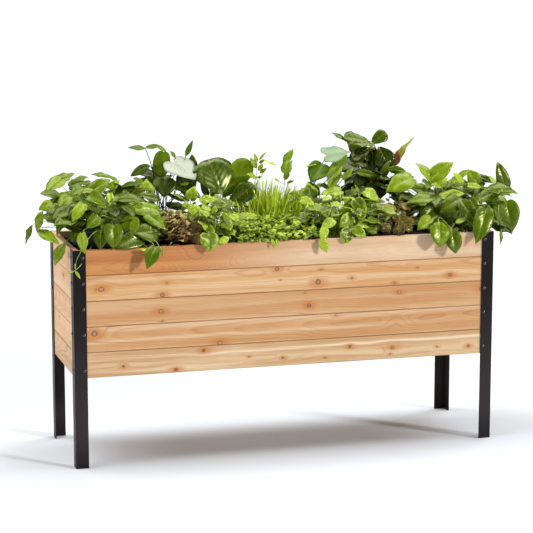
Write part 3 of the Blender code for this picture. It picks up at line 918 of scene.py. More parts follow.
RIGHT_FIDDLE = (
    ("oval", (30, 5, 107), (23.9, 5, 110.5), 0.3, UP, 0.55),
    ("fiddle", (38.5, 5, 106.6), (28.4, 4, 108.8), 0.55, (-0.2, -0.75, 0.65), 0.28),
    ("oval", (40, 3, 105.7), (29.3, 2, 106.6), 0.25, UP, 0.35),
    ("fiddle", (39.3, 5, 106), (45, 5, 109.8), 0.72, FRONT, 0.35),
    ("fiddle", (38, 3, 105), (30.6, 2, 100), 0.62, (-0.2, -0.8, 0.5), 0.06),
    ("fiddle", (41, 2, 105.2), (44.2, 0, 97.7), 0.95, FRONT, 0.04),
    ("oval", (41, 0, 95.4), (44.8, -1, 100.5), 0.3, UP, 0.5),
    ("fiddle", (38.5, 4, 94.5), (39.5, 4, 105), 0.42, FRONT, 0.04),
    ("oval", (44, 4, 93.5), (44.5, 4, 100.5), 0.45, FRONT, 0.06),
    ("oval", (36.5, 2, 98.3), (31, 1, 99.5), 0.4, UP, 0.15),
    ("oval", (32, 0, 96.2), (41, -1, 94.6), 0.3, UP, 0.5),
    ("fiddle", (40.5, 0, 92), (35.5, -1, 89.5), 0.75, FRONT, 0.25),
    ("fiddle", (33.5, 2, 88), (34, 2, 96), 0.62, FRONT, 0.05),
    ("fiddle", (42, 6, 90), (39, 6, 97), 0.7, FRONT, 0.03),
    ("fiddle", (38, 8, 100), (33, 12, 106), 0.6, AWAY, 0.2),
    ("fiddle", (42, 8, 98), (47, 12, 103), 0.6, AWAY, 0.2),
    ("fiddle", (40, 8, 94), (37, 9, 104.5), 0.7, FRONT, 0.03),
    ("fiddle", (41, 8, 92), (45, 9, 102), 0.65, FRONT, 0.02),
    ("fiddle", (38, 8, 86), (33.5, 9, 96), 0.75, FRONT, 0.03),
    ("fiddle", (42, 9, 84), (45.5, 9, 94), 0.75, FRONT, 0.02),
    ("fiddle", (37, 7, 84), (29.5, 7, 91), 0.7, FRONT, 0.1),
)

PALE_ANTHURIUM = (
    ("anthurium", (21.0, 0, 103.0), (29.2, -1, 103.9), 1.2, (0.0, -0.66, 0.75), 1.15),
    ("heart", (18.6, -1, 99.8), (13.6, -3, 93.4), 0.95, FRONT, 0.3),
    ("lance", (18.2, 0, 100.6), (12.6, 0, 98.8), 0.3, UP, 0.6),
    ("oval", (22.5, 2, 90.5), (26.3, 2, 103), 0.4, FRONT, 0.8),
    ("fiddle", (28.8, 1, 103.3), (23.6, 1, 100), 0.75, FRONT, 0.5),
    ("heart", (26.5, -1, 94.5), (30.5, -1, 98), 0.5, UP, 0.8),
    ("oval", (19, 3, 88), (15, 5, 93), 0.5, AWAY, 0.4),
)

GOLDEN_POTHOS = (
    ("heart", (-31.5, -6, 89.8), (-29.5, -5, 94.3), 0.85, FRONT, 0.65),
    ("lance", (-34, -6, 90), (-37.5, -5, 92), 0.35, UP, 0.4),
    ("oval", (-29.5, -10, 90), (-23.2, -11, 90), 0.5, UP, 0.8),
    ("heart", (-23, -8, 91), (-20, -9, 87.7), 0.6, RIGHT, 0.5),
    ("oval", (-35, -10, 86.5), (-34, -10, 90), 0.5, FRONT, 0.85),
    ("heart", (-31.8, -14, 88.8), (-33, -15.5, 84.8), 1.0, FRONT, 0.75),
    ("heart", (-27.5, -13, 86.5), (-32, -15, 83.3), 0.7, FRONT, 0.6),
    ("heart", (-28.5, -12, 88), (-25, -12, 86.3), 0.6, UP, 0.9),
    ("oval", (-25, -12, 84.5), (-23.8, -12, 88.2), 0.5, FRONT, 0.75),
    ("heart", (-24, -10, 88.3), (-19, -11, 88), 0.62, UP, 0.25),
    ("heart", (-27.5, -16, 83), (-26, -18, 78.2), 0.7, FRONT, 0.55),
    ("heart", (-25, -15, 81), (-21.5, -16, 83), 0.5, UP, 0.6),
    ("heart", (-29, -22.8, 79.9), (-29.6, -24.6, 73.8), 1.1, FRONT, 0.45),
    ("oval", (-22, -22.6, 78.3), (-25.8, -23.2, 76.6), 0.62, FRONT, 0.95),
    ("round", (-19, -12, 84.2), (-15.3, -12.5, 83), 0.75, UP, 0.75),
    ("heart", (-22, -13, 84.5), (-18.5, -15, 81), 0.7, FRONT, 0.6),
    ("heart", (-29, -18, 82), (-26, -20, 79.5), 0.7, FRONT, 0.5),
)

PEPEROMIA = (
    ("heart", (24, -6, 90.8), (15.8, -7, 89.6), 0.55, UP, 0.65),
    ("heart", (13.5, -5, 88), (12, -4, 94), 0.9, FRONT, 0.35),
    ("heart", (7.4, -12, 89), (12.4, -13, 87), 0.65, UP, 0.75),
    ("heart", (18.3, -10, 89.2), (15.3, -11, 88), 0.7, UP, 0.8),
    ("heart", (15.6, -13, 87), (16.2, -15, 82), 0.75, FRONT, 0.45),
    ("heart", (11, -12, 85), (7.5, -13, 83), 0.7, FRONT, 0.15),
    ("heart", (18.6, -12, 87), (23.8, -12, 85.8), 0.5, UP, 0.7),
    ("heart", (20.5, -9, 86.5), (23.5, -8, 89.8), 0.8, FRONT, 0.3),
    ("heart", (21.3, -14, 84), (27, -15, 84.6), 0.6, FRONT, 0.55),
    ("heart", (29, -10, 84.5), (23.5, -9, 89), 0.7, UP, 0.65),
    ("heart", (27.5, -12, 88), (31, -14.5, 82.5), 0.75, FRONT, 0.35),
    ("heart", (32, -10, 91), (36.5, -12, 87), 0.75, UP, 0.75),
    ("lance", (31.5, -5, 88.5), (30, -4, 92.5), 0.35, FRONT, 0.45),
    ("heart", (36, -12, 86.5), (33.8, -14, 80.6), 0.75, FRONT, 0.45),
    ("round", (33.3, -17, 82), (30.8, -18.5, 76.8), 0.95, FRONT, 0.4),
    ("heart", (25, -16, 82.3), (19.5, -18, 79.3), 0.85, FRONT, 0.5),
    ("heart", (17.8, -17, 82), (12.5, -18.5, 79), 0.6, UP, 0.85),
    ("heart", (13.5, -14, 82), (10.5, -16, 78), 0.8, FRONT, 0.1),
    ("oval", (26.5, -19.5, 79), (22.8, -20, 78.6), 0.35, UP, 0.95),
    ("heart", (26.5, -18, 80.3), (30.5, -19, 79), 0.6, UP, 1.0),
    ("round", (22.5, -22, 79), (18.8, -23.6, 75.6), 0.95, FRONT, 0.2),
    ("heart", (24, -22, 79.5), (27.8, -23.5, 76.2), 0.8, FRONT, 0.45),
    ("heart", (12.8, -23, 80.2), (11, -24.2, 75.5), 0.62, FRONT, 0.9),
    ("heart", (11.2, -24.2, 76), (13, -25.2, 71.8), 0.7, FRONT, 0.9),
    ("heart", (29, -15, 85), (27.5, -17, 81), 0.8, FRONT, 0.4),
    ("heart", (18, -14, 84.5), (20.5, -16, 81.5), 0.8, FRONT, 0.35),
)

RIGHT_POTHOS = (
    ("heart", (50.5, -7, 94.5), (39.5, -10, 90), 0.6, UP, 0.6),
    ("oval", (51, 0, 96), (43, 2, 97), 0.35, UP, 0.5),
    ("heart", (57.5, -8, 94.3), (52.2, -6, 99.8), 0.62, UP, 0.7),
    ("heart", (57.8, -8, 94.3), (66.5, -8, 99.8), 0.58, UP, 0.6),
    ("heart", (65, 0, 94.5), (69, 1, 96), 0.6, UP, 0.4),
    ("heart", (70.8, -6, 92), (66.8, -5, 95.8), 0.65, UP, 0.85),
    ("heart", (76.5, -6, 91.6), (73.5, -4, 96.6), 0.8, FRONT, 0.68),
    ("heart", (77.5, -5, 94), (83, -5, 91), 0.5, UP, 0.25),
    ("heart", (71.5, -10, 91.5), (77, -11, 90), 0.55, UP, 0.65),
    ("oval", (86.4, -10, 88), (82.9, -9, 99.6), 0.42, FRONT, 0.3),
    ("heart", (74.5, -13, 87), (84.5, -14, 89.6), 0.55, UP, 0.5),
    ("heart", (72, -8, 90), (65, -9, 90.8), 0.55, FRONT, 0.35),
    ("heart", (60, -13, 88.3), (68.8, -14, 89), 0.5, UP, 0.65),
    ("heart", (61, -10, 91), (56, -12, 92.5), 0.5, UP, 0.75),
    ("heart", (61, -8, 91.5), (64.5, -7, 94), 0.6, UP, 0.9),
    ("heart", (54.6, -13, 87.3), (45.6, -15, 86.5), 0.58, UP, 0.45),
    ("heart", (55, -14, 88), (60.5, -15.5, 85), 0.5, RIGHT, 0.6),
    ("heart", (66.8, -15, 87.5), (57.5, -17, 82.8), 0.65, UP, 0.28),
    ("heart", (56.5, -14, 84.3), (50.5, -16, 79.5), 0.85, FRONT, 0.35),
    ("heart", (54.5, -17, 81), (48.5, -19, 77.3), 0.75, FRONT, 0.85),
    ("oval", (54.8, -24, 80.9), (54.4, -26.5, 71.9), 0.78, FRONT, 0.62),
    ("oval", (59.6, -23.7, 78.2), (60.6, -26, 69.4), 0.68, FRONT, 0.3),
    ("oval", (62.8, -20, 79.5), (67.7, -20, 81), 0.42, UP, 0.95),
    ("heart", (65.8, -18, 86.5), (71.5, -22.8, 75.5), 0.4, FRONT, 0.2),
    ("heart", (69.5, -17, 87), (73.5, -18.5, 80), 0.58, FRONT, 0.45),
    ("heart", (73.5, -22, 84), (68.3, -25.5, 72.3), 0.55, FRONT, 0.32),
    ("heart", (80, -17, 86), (79.5, -19, 77.5), 0.6, RIGHT, 0.22),
    ("heart", (85.5, -12, 84.8), (87.2, -14, 73.8), 0.75, FRONT, 0.42),
    ("lance", (82.5, -14, 77), (82, -15, 69.5), 0.24, RIGHT, 0.45),
    ("heart", (84, -9, 80.5), (88.5, -9, 75), 0.8, FRONT, 0.15),
    ("heart", (80, -12, 86), (84, -14, 81), 0.7, FRONT, 0.25),
    ("heart", (76, -17, 82), (79.5, -20, 78.5), 0.7, FRONT, 0.3),
)

SPRIG_LEFT = (
    ("lance", (-5.6, 0, 99.2), (-8.2, 0, 103.2), 0.45, FRONT, 0.35),
    ("lance", (-5.4, 0, 101.4), (-6.6, 0, 104.6), 0.42, FRONT, 0.5),
    ("lance", (-4.7, 0, 102.1), (-1.9, 0, 105.1), 0.22, FRONT, 0.6),
    ("oval", (-4.9, -1, 101), (-3, -1, 102.2), 0.5, FRONT, 0.1),
    ("oval", (-5.3, -1, 98.4), (-3.5, -1, 100.8), 0.55, FRONT, 0.4),
    ("lance", (-4.7, -1, 97.4), (-2, -1, 99.3), 0.38, FRONT, 0.12),
    ("oval", (-5.8, -1, 95.7), (-9.9, -2, 97.5), 0.5, UP, 0.45),
    ("oval", (-5.6, -1, 95.9), (-3.8, -1, 96.2), 0.5, FRONT, 0.1),
    ("oval", (-6.4, 1, 96.4), (-8.4, 3, 98.2), 0.5, AWAY, 0.3),
    ("lance", (-3.6, 0, 102.2), (2.3, -1, 99.4), 0.16, UP, 1.0),
)

SPRIG_RIGHT = (
    ("lance", (4.2, 0, 100.6), (8.3, 0, 105.8), 0.42, FRONT, 0.4),
    ("oval", (4.7, -1, 96.8), (5.8, -1, 102), 0.72, FRONT, 0.45),
    ("oval", (5.2, 1, 94.4), (6.5, 1, 98.2), 0.5, FRONT, 0.1),
    ("oval", (2.8, -1, 94), (0.1, -1, 95.4), 0.5, UP, 0.55),
    ("lance", (5.6, 0, 93.4), (8.6, 0, 94.3), 0.3, FRONT, 0.1),
    ("lance", (6, 1, 99), (8.4, 2, 101.4), 0.4, FRONT, 0.3),
)

CROTON = (
    ("lance", (47.3, 5, 97), (56.3, 5, 108.4), 0.2, (-0.5, -0.4, 0.7), 0.75),
    ("lance", (47.3, 4, 97.4), (50, 4, 103.8), 0.5, FRONT, 0.1),
    ("lance", (47.6, 5, 96), (44.5, 7, 101), 0.3, AWAY, 0.3),
)

SPOTTED_BEGONIA = (
    ("palmate", (42, -17, 82), (46, -20, 77.2), 1.1, FRONT, 0.35),
    ("palmate", (38.5, -17.5, 80), (34.8, -20, 77.5), 1.1, FRONT, 0.15),
    ("palmate", (41, -15, 86), (36.5, -17, 83.5), 1.0, UP, 0.6),
    ("palmate", (43.5, -14, 86.5), (47, -16, 84), 1.0, UP, 0.45),
    ("palmate", (41, -20, 79.5), (40.5, -22.4, 76), 1.1, FRONT, 0.1),
)

RIM_SPRIGS = (
    ("oval", (-6.5, -23, 77.2), (-6.3, -23.8, 74.5), 0.5, FRONT, 0.5),
    ("oval", (-4.8, -23, 77.2), (-4.6, -23.8, 74.6), 0.5, FRONT, 0.6),
    ("oval", (-4.3, -22.6, 79), (-1.2, -23, 77.8), 0.6, UP, 0.6),
)


def begonia_leaves(skin, wood, draw):
    """A low mound of small jagged leaves, with two larger dark ones at its right."""
    for _ in range(300):
        turn, out = draw.uniform(0, math.tau), draw.uniform(0, 1) ** 0.6
        x, y = -39.8 + 6.6 * out * math.cos(turn), -12.5 + 7.5 * out * math.sin(turn)
        z = 77.2 + 7.5 * (1 - out**2) + draw.uniform(-2, 2)
        lean = np.array((math.cos(turn), math.sin(turn), draw.uniform(-0.7, 0.8)))
        base = cm((x, y, z))
        tip = base + lean / np.linalg.norm(lean) * draw.uniform(0.015, 0.03)
        face = (-0.3 + 0.5 * math.cos(turn), -0.6, 0.7)
        add_leaf(skin, draw, "palmate", base, tip, draw.uniform(0.8, 1.2), face, draw.uniform(-0.1, 1.1),
                 0.9, 0.2, 0.2, fine=False)
        if draw.random() < 0.4:
            foot = cm((-38.5 + draw.uniform(-2, 2), -11 + draw.uniform(-2, 2), 76.5))
            petiole(wood, draw, foot, base, tip, 0.0009)
    for base, tip in (((-33.5, -16, 83.5), (-29.5, -18, 80.5)), ((-32, -19.5, 80), (-32.6, -22, 75.8))):
        add_leaf(skin, draw, "palmate", cm(base), cm(tip), 1.1, FRONT, 0.0, 0.4, 0.1, 0.08)


def small_begonia_leaves(skin, wood, draw):
    """Little crinkled leaves over the larger ones."""
    for _ in range(60):
        base = cm((draw.uniform(37, 46.5), draw.uniform(-14, -7), draw.uniform(79, 87)))
        turn = draw.uniform(0, math.tau)
        length = draw.uniform(0.012, 0.024)
        tip = base + length * np.array((math.cos(turn), math.sin(turn), draw.uniform(-0.6, 0.6)))
        add_leaf(skin, draw, "palmate", base, tip, draw.uniform(0.8, 1.1), (0.0, -0.7, 0.7),
                 draw.uniform(0.0, 0.9), 0.8, 0.2, 0.2, fine=False)
        if draw.random() < 0.5:
            petiole(wood, draw, cm((45.5, -11, BED)), base, tip, 0.0009)


def grass_blades(skin, wood, draw):
    """A rounded tuft of blades, with two long ones that arch out of it."""
    for _ in range(560):
        x, y = draw.gauss(1.0, 5.5), draw.uniform(-4, 18)
        x = max(-10, min(9.5, x))
        high = draw.uniform(12, 23) - 0.03 * (x - 1.5) ** 2 - max(0, -y) * 0.8 + 1.5 * math.cos(0.6 * x)
        tip = (x + draw.gauss(0.35 * (x - 1), 3.2), y + draw.gauss(-2.5, 3), BED + high)
        add_blade(skin, draw, cm((x, y, BED - 0.5)), cm(tip), draw.uniform(0.005, 0.009),
                  draw.uniform(0.3, 1.1))
    add_blade(skin, draw, cm((7, 5, 92)), cm((16, 6, 91)), 0.004, 0.9, 0.03)
    add_blade(skin, draw, cm((-5, 4, 91)), cm((1, 3, 97.5)), 0.004, 0.9, 0.03)


def ground_leaves(skin, wood, draw):
    """A mat of small leaves over the front of the bed, higher towards the back."""
    for _ in range(1000):
        x, y = draw.uniform(-17.5, 10.5), draw.uniform(-22, -3)
        edge = max(0.0, -y - 17) * 0.55
        waves = 0.8 * math.sin(x * 0.9) * math.cos(y * 0.7)
        z = 78.3 + 0.24 * (y + 20) - edge * 0.4 + draw.uniform(-1.6, 1.4) + waves
        turn = draw.uniform(0, math.tau)
        length = draw.uniform(0.011, 0.024)
        base = cm((x, y, z))
        tip = base + length * np.array((math.cos(turn), math.sin(turn), draw.uniform(-0.4, 0.6)))
        add_leaf(skin, draw, "oval", base, tip, draw.uniform(0.45, 0.7),
                 (draw.uniform(-0.6, 0.5), draw.uniform(-1.0, -0.2), 0.7), draw.uniform(0.0, 1.05),
                 0.4, 0.2, 0.05, fine=False)
        if draw.random() < 0.3:
            stem = (cm((x, y, BED)), cm((x + draw.uniform(-1, 1), y, (z + BED) / 2)), base)
            add_tube(wood, stem, 0.0007, 0.0007, sides=4)


def add_plants():
    skins = {name: both_sides(name, **look) for name, look in SKINS.items()}
    green, brown, red, dark = (
        stem_finish(name + "_stalk", srgb(*pale), srgb(*deep)) for name, pale, deep in STALKS)

    grow("left_pothos", LEFT_POTHOS, skins["pothos"], green, (-62, -9, 80.5), 101,
         spread=0.07, fold=0.3, wave=0.06,
         fill=((84, (-78, -17, 82), (-48, 6, 92), (5.5, 9), "heart", (0.05, 0.6)),
               (34, (-76, 2, 82), (-46, 14, 94), (5.5, 9), "heart", (0.1, 0.7))),
         vines=((1.2, (-62, -14, 80.5), (-68, -21.5, 82.5), (-72.5, -23.4, 78.5), (-74, -24.2, 76),
                 (-75.6, -24.5, 73), (-76, -24.6, 69.6)),
                (1.3, (-66, -8, 80.5), (-76, -11, 84), (-85, -12, 82.8)),
                (1.1, (-66, -6, 80.5), (-78, -10, 90), (-84, -11, 90), (-88.2, -11, 84.6))))
    grow("golden_pothos", GOLDEN_POTHOS, skins["variegated"], green,
         (-26, -10, BED), 102, spread=0.04, fold=0.1,
         fill=((52, (-32, -19, 76), (-16, -5, 87), (3.8, 6), "heart", (0.0, 0.7)),
               (42, (-31, -4, 76), (-11, 6, 89), (4.5, 7), "heart", (0.0, 0.5))))
    grow("right_pothos", RIGHT_POTHOS, skins["pothos"], green, (64, -6, BED), 103,
         spread=0.07, fold=0.3, wave=0.06,
         fill=((84, (50, -17, 77), (82, 4, 91), (5.5, 9), "heart", (0.05, 0.6)),
               (40, (46, 2, 78), (84, 14, 93), (6, 9.5), "heart", (0.1, 0.7))),
         vines=((1.3, (62, -18, 72), (60, -21, 78), (56, -22, 82), (54.6, -23.8, 80.8)),
                (1.3, (70, -16, 74), (76, -15, 83.5), (82, -13, 87), (85.3, -12, 85)),
                (1.3, (72, -16, 74), (77, -15, 84.5), (83, -13.5, 86.6), (85, -11, 88)),
                (1.2, (62, -19, 73), (60.5, -21, 77), (62.5, -20, 79.3))))
    grow("peperomia", PEPEROMIA, skins["variegated"], green, (23, -9, BED), 104,
         spread=0.05, fold=0.08,
         fill=((66, (9, -19, 76), (36, -4, 87), (4.5, 6.5), "heart", (0.0, 0.6)),
               (50, (12, -3, 76), (38, 10, 92), (5, 8), "heart", (0.0, 0.5))))
    grow("tall_anthurium", TALL_ANTHURIUM, skins["glossy"], dark, (-39.5, 5.5, BED), 105,
         stalk=0.0018, spread=0.025, bend=0.35, wave=0.03,
         fill=((7, (-46, 6, 90), (-36, 10, 99), (6, 8), "anthurium", (0.05, 0.3)),),
         vines=((2.2, (-39.5, 5.5, BED), (-40.6, 5.5, 88), (-42.6, 5, 100), (-45, 5, 107.2)),))
    grow("left_fiddle_fig", LEFT_FIDDLE, skins["fiddle"], brown, (-28.3, 6.5, BED), 106,
         stalk=0.0022, spread=0.01, bend=0.4, wave=0.06,
         fill=((6, (-30, 6, 80), (-17, 10, 88), (6, 8), "fiddle", (0.0, 0.3)),))
    grow("right_fiddle_fig", RIGHT_FIDDLE, skins["fiddle"], brown, (40.2, 7.5, BED), 107,
         stalk=0.0022, spread=0.012, bend=0.5, wave=0.06,
         fill=((16, (34, 2, 84), (45, 10, 99), (6, 10), "fiddle", (0.0, 0.2)),))
    grow("pale_anthurium", PALE_ANTHURIUM, skins["pale_glossy"], dark,
         (10.6, 0.5, BED), 108, stalk=0.0018, spread=0.008, bend=0.3)
    grow("left_sprig", SPRIG_LEFT, skins["fresh"], red, (-11.5, 0, BED), 109,
         stalks=False, teeth=True,
         vines=((1.3, (-11.7, 0, BED), (-8, 0, 80), (-5, 0, 89), (-5.6, 0, 97), (-6.2, 0, 103.4)),))
    grow("right_sprig", SPRIG_RIGHT, skins["fresh"], red, (0, 0, BED), 110,
         stalks=False, teeth=True,
         vines=((1.3, (0.2, 0, BED), (2.6, 0, 82), (4.6, 0, 92), (5.2, 0, 99), (5, 0, 101.5)),
                (0.7, (4.6, 0, 93), (3.6, -0.6, 93.6), (2.6, -1, 94))))
    grow("croton", CROTON, skins["flame"], brown, (46.2, 5, BED), 111,
         stalks=False, vines=((1.5, (46.2, 5, BED), (46.3, 5, 85), (47.3, 5, 97.4)),))
    grow("palmate_begonia", (), skins["rusty"], red, (-38.5, -11, 76.5), 112,
         extra=begonia_leaves)
    grow("spotted_begonia", SPOTTED_BEGONIA, skins["spotted"], red,
         (45.5, -11, BED), 113, stalk=0.0011, extra=small_begonia_leaves)
    grow("grass_clump", (), skins["grass"], green, (0, 10, BED), 114,
         extra=grass_blades)
    grow("creeping_groundcover", RIM_SPRIGS, skins["fresh"], green,
         (-2, -14, BED), 115, stalks=False, extra=ground_leaves)


# ---- soil, liner and pots ----


def dark_soil():
    n = Nodes("potting_mix")
    place = n.object_place()
    crumbs = n.noise(place, 160.0, 4.0, 0.7)
    fleck = n.cells(place, 260.0)
    colour = n.mix(crumbs.span(0.35, 0.7), srgb(20, 14, 10), srgb(56, 42, 32))
    colour = n.mix(fleck.span(0.06, 0.12, 0.6, 0.0), colour, srgb(120, 104, 86))
    n.set(Base_Color=colour, Roughness=0.95, Specular_IOR_Level=0.1, Normal=n.bump(crumbs, 0.9, 0.004))
    return n.material


def black_cloth():
    n = Nodes("black_liner_cloth")
    x, y, z = n.split(n.object_place())
    fuzz = n.noise(n.object_place(), 1200.0, 3.0, 0.7)
    weave = ((x + y) * 2600.0).math("SINE") * (z * 2600.0).math("SINE")
    n.set(Base_Color=n.mix(fuzz, srgb(14, 14, 14), srgb(34, 33, 33)), Roughness=0.95)
    n.set(Specular_IOR_Level=0.08, Normal=n.bump(weave * 0.3 + fuzz, 0.5, 0.0006))
    return n.material


def pot_plastic():
    n = Nodes("black_pot_plastic")
    scuff = n.noise(n.object_place(), 40.0, 4.0, 0.65)
    n.set(Base_Color=n.mix(scuff, srgb(12, 12, 13), srgb(30, 30, 32)), Specular_IOR_Level=0.3)
    n.set(Roughness=scuff.span(0.3, 0.7, 0.34, 0.56), Normal=n.bump(scuff, 0.2, 0.0005))
    return n.material


SOIL_DROP = 0.006  # how far the soil's lumpy surface lies below the top of its box
SOIL_LUMP = 0.005
SOIL_INSET = 0.0035


def bumpy(x, y, seed=0.0):
    """Slow bumps, from -1 to 1, that are the same on every run."""
    total = math.sin(31 * x + 4 * math.sin(23 * y + seed)) * math.cos(37 * y + 3 * math.sin(19 * x - seed))
    return 0.6 * total + 0.4 * math.sin(97 * x + 2 * seed) * math.cos(89 * y + seed)


def add_soil(material):
    """A closed block whose top is lumpy and sinks a little towards the liner."""
    low = SOIL_LOW + Vector((SOIL_INSET, SOIL_INSET, 0.001))
    high = SOIL_HIGH - Vector((SOIL_INSET, SOIL_INSET, 0))
    slices, steps = 150, 44
    points = []
    for k in range(slices):
        x = low.x + (high.x - low.x) * k / (slices - 1)
        points.append((x, low.y, low.z))
        for i in range(steps):
            y = low.y + (high.y - low.y) * i / (steps - 1)
            rim = min(x - low.x, high.x - x, y - low.y, high.y - y)
            z = high.z - SOIL_DROP + SOIL_LUMP * bumpy(x, y) - 0.008 * math.exp(-rim / 0.02)
            points.append((x, y, z))
        points.append((x, high.y, low.z))
    faces = band_faces(slices, steps + 2) + cap_faces(slices, steps + 2)
    made = smooth_object("soil_bed", points, faces, [material])
    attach(made, "root")
    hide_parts("potting_soil")


def add_crumbs(material):
    """Bark, clods and pale grains lying on the soil."""
    draw = random.Random(61)
    heap = Growth()
    ball = bmesh.new()
    bmesh.ops.create_icosphere(ball, subdivisions=1, radius=1.0)
    ball.verts.index_update()
    corners = np.array([v.co for v in ball.verts])
    faces = [tuple(v.index for v in f.verts) for f in ball.faces]
    ball.free()
    for _ in range(900):
        x = draw.uniform(SOIL_LOW.x + 0.02, SOIL_HIGH.x - 0.02)
        y = draw.uniform(SOIL_LOW.y + 0.02, SOIL_HIGH.y - 0.02)
        size = draw.uniform(0.0015, 0.006)
        shape = np.array([draw.uniform(0.6, 1.3), draw.uniform(0.6, 1.3), draw.uniform(0.4, 0.9)]) * size
        jitter = np.array([draw.uniform(0.75, 1.2) for _ in corners])[:, None]
        z = SOIL_HIGH.z - SOIL_DROP + SOIL_LUMP * bumpy(x, y) + size * 0.2
        heap.add(corners * shape * jitter + (x, y, z), faces)
    made = heap.build("soil_crumbs", [material])
    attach(made, "root")


LINER_AROUND = 220
LINER_CORNER = 0.02
LINER_THICKNESS = 0.0015
LINER_LIFT = 0.0016  # the cloth's middle over the slats


def around_bed(turn, half_x, half_y):
    """A point on a rounded rectangle, by its share of the way round."""
    straights = 2 * (half_x - LINER_CORNER), 2 * (half_y - LINER_CORNER)
    arc = math.pi / 2 * LINER_CORNER
    far = turn * (2 * sum(straights) + 4 * arc)
    x, y, heading = -half_x + LINER_CORNER, -half_y, 0.0
    for straight in straights * 2:
        step = min(far, straight)
        x, y = x + step * math.cos(heading), y + step * math.sin(heading)
        bend = min(max(far - straight, 0.0), arc) / LINER_CORNER
        x += LINER_CORNER * (math.sin(heading + bend) - math.sin(heading))
        y += LINER_CORNER * (math.cos(heading) - math.cos(heading + bend))
        far -= straight + arc
        if far <= 0:
            break
        heading += math.pi / 2
    return x, y


def add_liner(material):
    """One cloth folded up from the slats against the boards, with a slightly wavy top edge."""
    half_x = (LINER_HIGH.x - LINER_LOW.x) / 2 - LINER_THICKNESS
    half_y = (LINER_HIGH.y - LINER_LOW.y) / 2 - LINER_THICKNESS
    bottom = LINER_LOW.z + LINER_LIFT
    wall = LINER_HIGH.z - bottom
    rings = [(share, 0.0) for share in (0.02, 0.3, 0.6, 0.85, 0.96)] + [(1.0, k / 16) for k in range(17)]
    points = []
    for share, climb in rings:
        for i in range(LINER_AROUND):
            turn = i / LINER_AROUND
            x, y = around_bed(turn, half_x, half_y)
            wave = 1 + math.sin(math.tau * 17 * turn + 3 * math.sin(math.tau * 5 * turn))
            ripple = 0.0022 * climb**3 * wave
            dip = 0.004 * climb**8 * (1 + math.sin(math.tau * 9 * turn + 1)) / 2
            points.append((x * share * (1 - ripple / half_x), y * share * (1 - ripple / half_y),
                           bottom + wall * climb - dip))
    faces = band_faces(len(rings), LINER_AROUND) + cap_faces(len(rings), LINER_AROUND)[:1]
    made = smooth_object("liner_cloth", points, faces, [material])
    thicken(made, "cloth_thickness", LINER_THICKNESS, 0.0)
    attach(made, "root")
    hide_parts("fabric_liner")


POT_SIDES = 72
POT_WALL = 0.0018
POT_LIP = 0.0040
POT_CENTRE = 0.002  # the radius of the small flat face in the middle of a pot's floor


def pot_ring(middle, radius, height, ribs=0):
    """A level ring of points around a pot, which shallow ribs may swell in and out."""
    points = []
    for turn in [math.tau * k / POT_SIDES for k in range(POT_SIDES)]:
        wide = radius * (1 + (0.006 * math.cos(ribs * turn) if ribs else 0))
        points.append((middle.x + wide * math.cos(turn), middle.y + wide * math.sin(turn), height))
    return points


def pot_piece(name, rings, material):
    points = [point for ring in rings for point in ring]
    faces = band_faces(len(rings), POT_SIDES) + cap_faces(len(rings), POT_SIDES)
    return smooth_object(name, points, faces, [material])


def add_pot(node, material, soil, ribs):
    """A tapered nursery pot with a rolled lip, a step below it and shallow ribs, filled with soil."""
    low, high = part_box(node)
    middle = (low + high) / 2
    radius, depth = (high.x - low.x) / 2, high.z - low.z
    outer = radius - POT_LIP
    profile = [
        (POT_CENTRE, 0.0), (outer * 0.83, 0.0), (outer * 0.85, 0.003), (outer * 0.91, depth * 0.45),
        (outer * 0.97, depth - 0.030), (outer * 0.985, depth - 0.026), (outer * 0.99, depth - 0.012),
        (radius * 0.985, depth - 0.0105), (radius, depth - 0.008), (radius, depth - 0.003),
        (radius * 0.99, depth - 0.0005), (radius * 0.975, depth), (outer - POT_WALL, depth - 0.001),
        (outer - POT_WALL * 1.5, depth - 0.012), (outer * 0.9 - POT_WALL, depth * 0.5),
        (outer * 0.86 - POT_WALL, 0.004), (POT_CENTRE, 0.004),
    ]
    rings = []
    for r, z in profile:
        ribbed = 0.01 < z < depth - 0.04 and r > outer * 0.8
        rings.append(pot_ring(middle, r, low.z + z, ribs if ribbed else 0))
    made = pot_piece(node + "_shell", rings, material)
    inside = (outer - POT_WALL * 2) * 0.985
    rings = [pot_ring(middle, inside, high.z - 0.05)]
    for share in (0.97, 0.8, 0.55, 0.3, 0.05):
        level = high.z - 0.016 + 0.006 * (1 - share**2)
        flat = pot_ring(middle, inside * share, level)
        rings.append([(x, y, z + 0.004 * bumpy(3 * x, 3 * y, 2.0)) for x, y, z in flat])
    earth = pot_piece(node + "_soil", rings, soil)
    for piece, finish in ((made, "black_plastic"), (earth, "soil")):
        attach(piece, "root")
    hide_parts(node)


def add_bed():
    soil = dark_soil()
    add_soil(soil)
    add_crumbs(soil)
    add_liner(black_cloth())
    plastic = pot_plastic()
    add_pot("left_pothos_pot", plastic, soil, 24)
    add_pot("palmate_begonia_pot", plastic, soil, 16)


# ---- the stage ----

CAMERA_AT = (-1.916, -6.633, 1.859)
CAMERA_TURN = math.radians(15.96)
CAMERA_DOWN = math.radians(10.07)
SENSOR_MM = 36.0
LENS_MM = 131.4
FLOOR_REACH = 90
WHITE = (1, 1, 1, 1)

# Soft suns as (name, the way they shine, strength, width in degrees). The three overhead ones
# make one wide softbox.
SUNS = (
    ("overhead_middle", (0.0, -0.12, -1.0), 1.3, 46),
    ("overhead_left", (0.6, -0.12, -1.0), 2.0, 46),
    ("overhead_right", (-0.6, -0.12, -1.0), 2.0, 46),
    ("key", (-0.68, 0.68, -0.3), 2.8, 7),
    ("left_fill", (0.99, 0.12, 0.0), 1.0, 20),
)


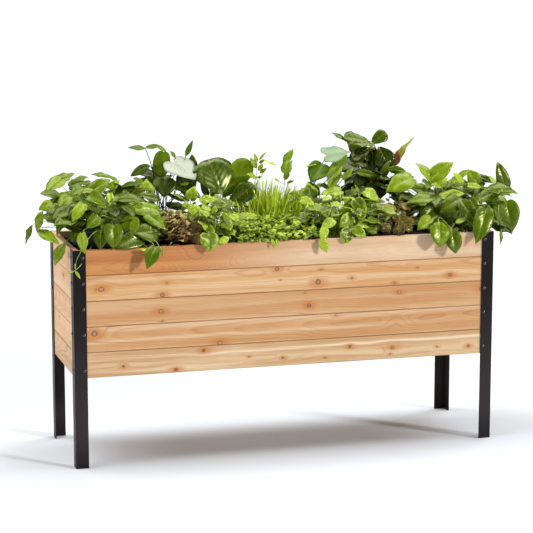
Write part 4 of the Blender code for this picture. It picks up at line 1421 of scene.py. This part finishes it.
def set_camera():
    camera = link(bpy.data.objects.new("camera", bpy.data.cameras.new("camera")))
    camera.data.sensor_width = SENSOR_MM
    camera.data.lens = LENS_MM
    camera.location = CAMERA_AT
    camera.rotation_euler = (math.pi / 2 - CAMERA_DOWN, 0.0, -CAMERA_TURN)
    bpy.context.scene.camera = camera


def add_floor():
    n = Nodes("pale_floor")
    n.set(Base_Color=srgb(207, 211, 216), Roughness=0.9, Specular_IOR_Level=0.1)
    mesh = bpy.data.meshes.new("studio_floor")
    corners = [(x * FLOOR_REACH, y * FLOOR_REACH, 0) for x, y in ((-1, -1), (1, -1), (1, 1), (-1, 1))]
    mesh.from_pydata(corners, [], [(0, 1, 2, 3)])
    mesh.materials.append(n.material)
    floor = link(bpy.data.objects.new("studio_floor", mesh))


def light_up():
    """The suns, and a world that is white to the camera but gives only a little light."""
    for name, direction, strength, width in SUNS:
        lamp = bpy.data.lights.new(name, "SUN")
        lamp.energy = strength
        lamp.angle = math.radians(width)
        made = link(bpy.data.objects.new(name, lamp))
        made.rotation_mode = "QUATERNION"
        made.rotation_quaternion = Vector(direction).to_track_quat("-Z", "Y")
    world = bpy.data.worlds.new("studio")
    bpy.context.scene.world = world
    world.use_nodes = True
    tree = world.node_tree
    lit, seen = tree.nodes["Background"], tree.nodes.new("ShaderNodeBackground")
    for back, strength in ((lit, 0.05), (seen, 1.0)):
        back.inputs["Color"].default_value = WHITE
        back.inputs["Strength"].default_value = strength
    path = tree.nodes.new("ShaderNodeLightPath")
    pick = tree.nodes.new("ShaderNodeMixShader")
    for i, source in enumerate((path.outputs["Is Camera Ray"], lit.outputs[0], seen.outputs[0])):
        tree.links.new(source, pick.inputs[i])
    tree.links.new(pick.outputs[0], tree.nodes["World Output"].inputs["Surface"])
    bpy.context.scene.view_settings.view_transform = "Standard"


# ---- the whole scene ----

dress_boards()
coat = powder_coat()
for leg in [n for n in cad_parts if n.startswith("leg_")]:
    paint(leg, coat)
add_screws()
add_bed()
add_plants()
set_camera()
add_floor()
light_up()
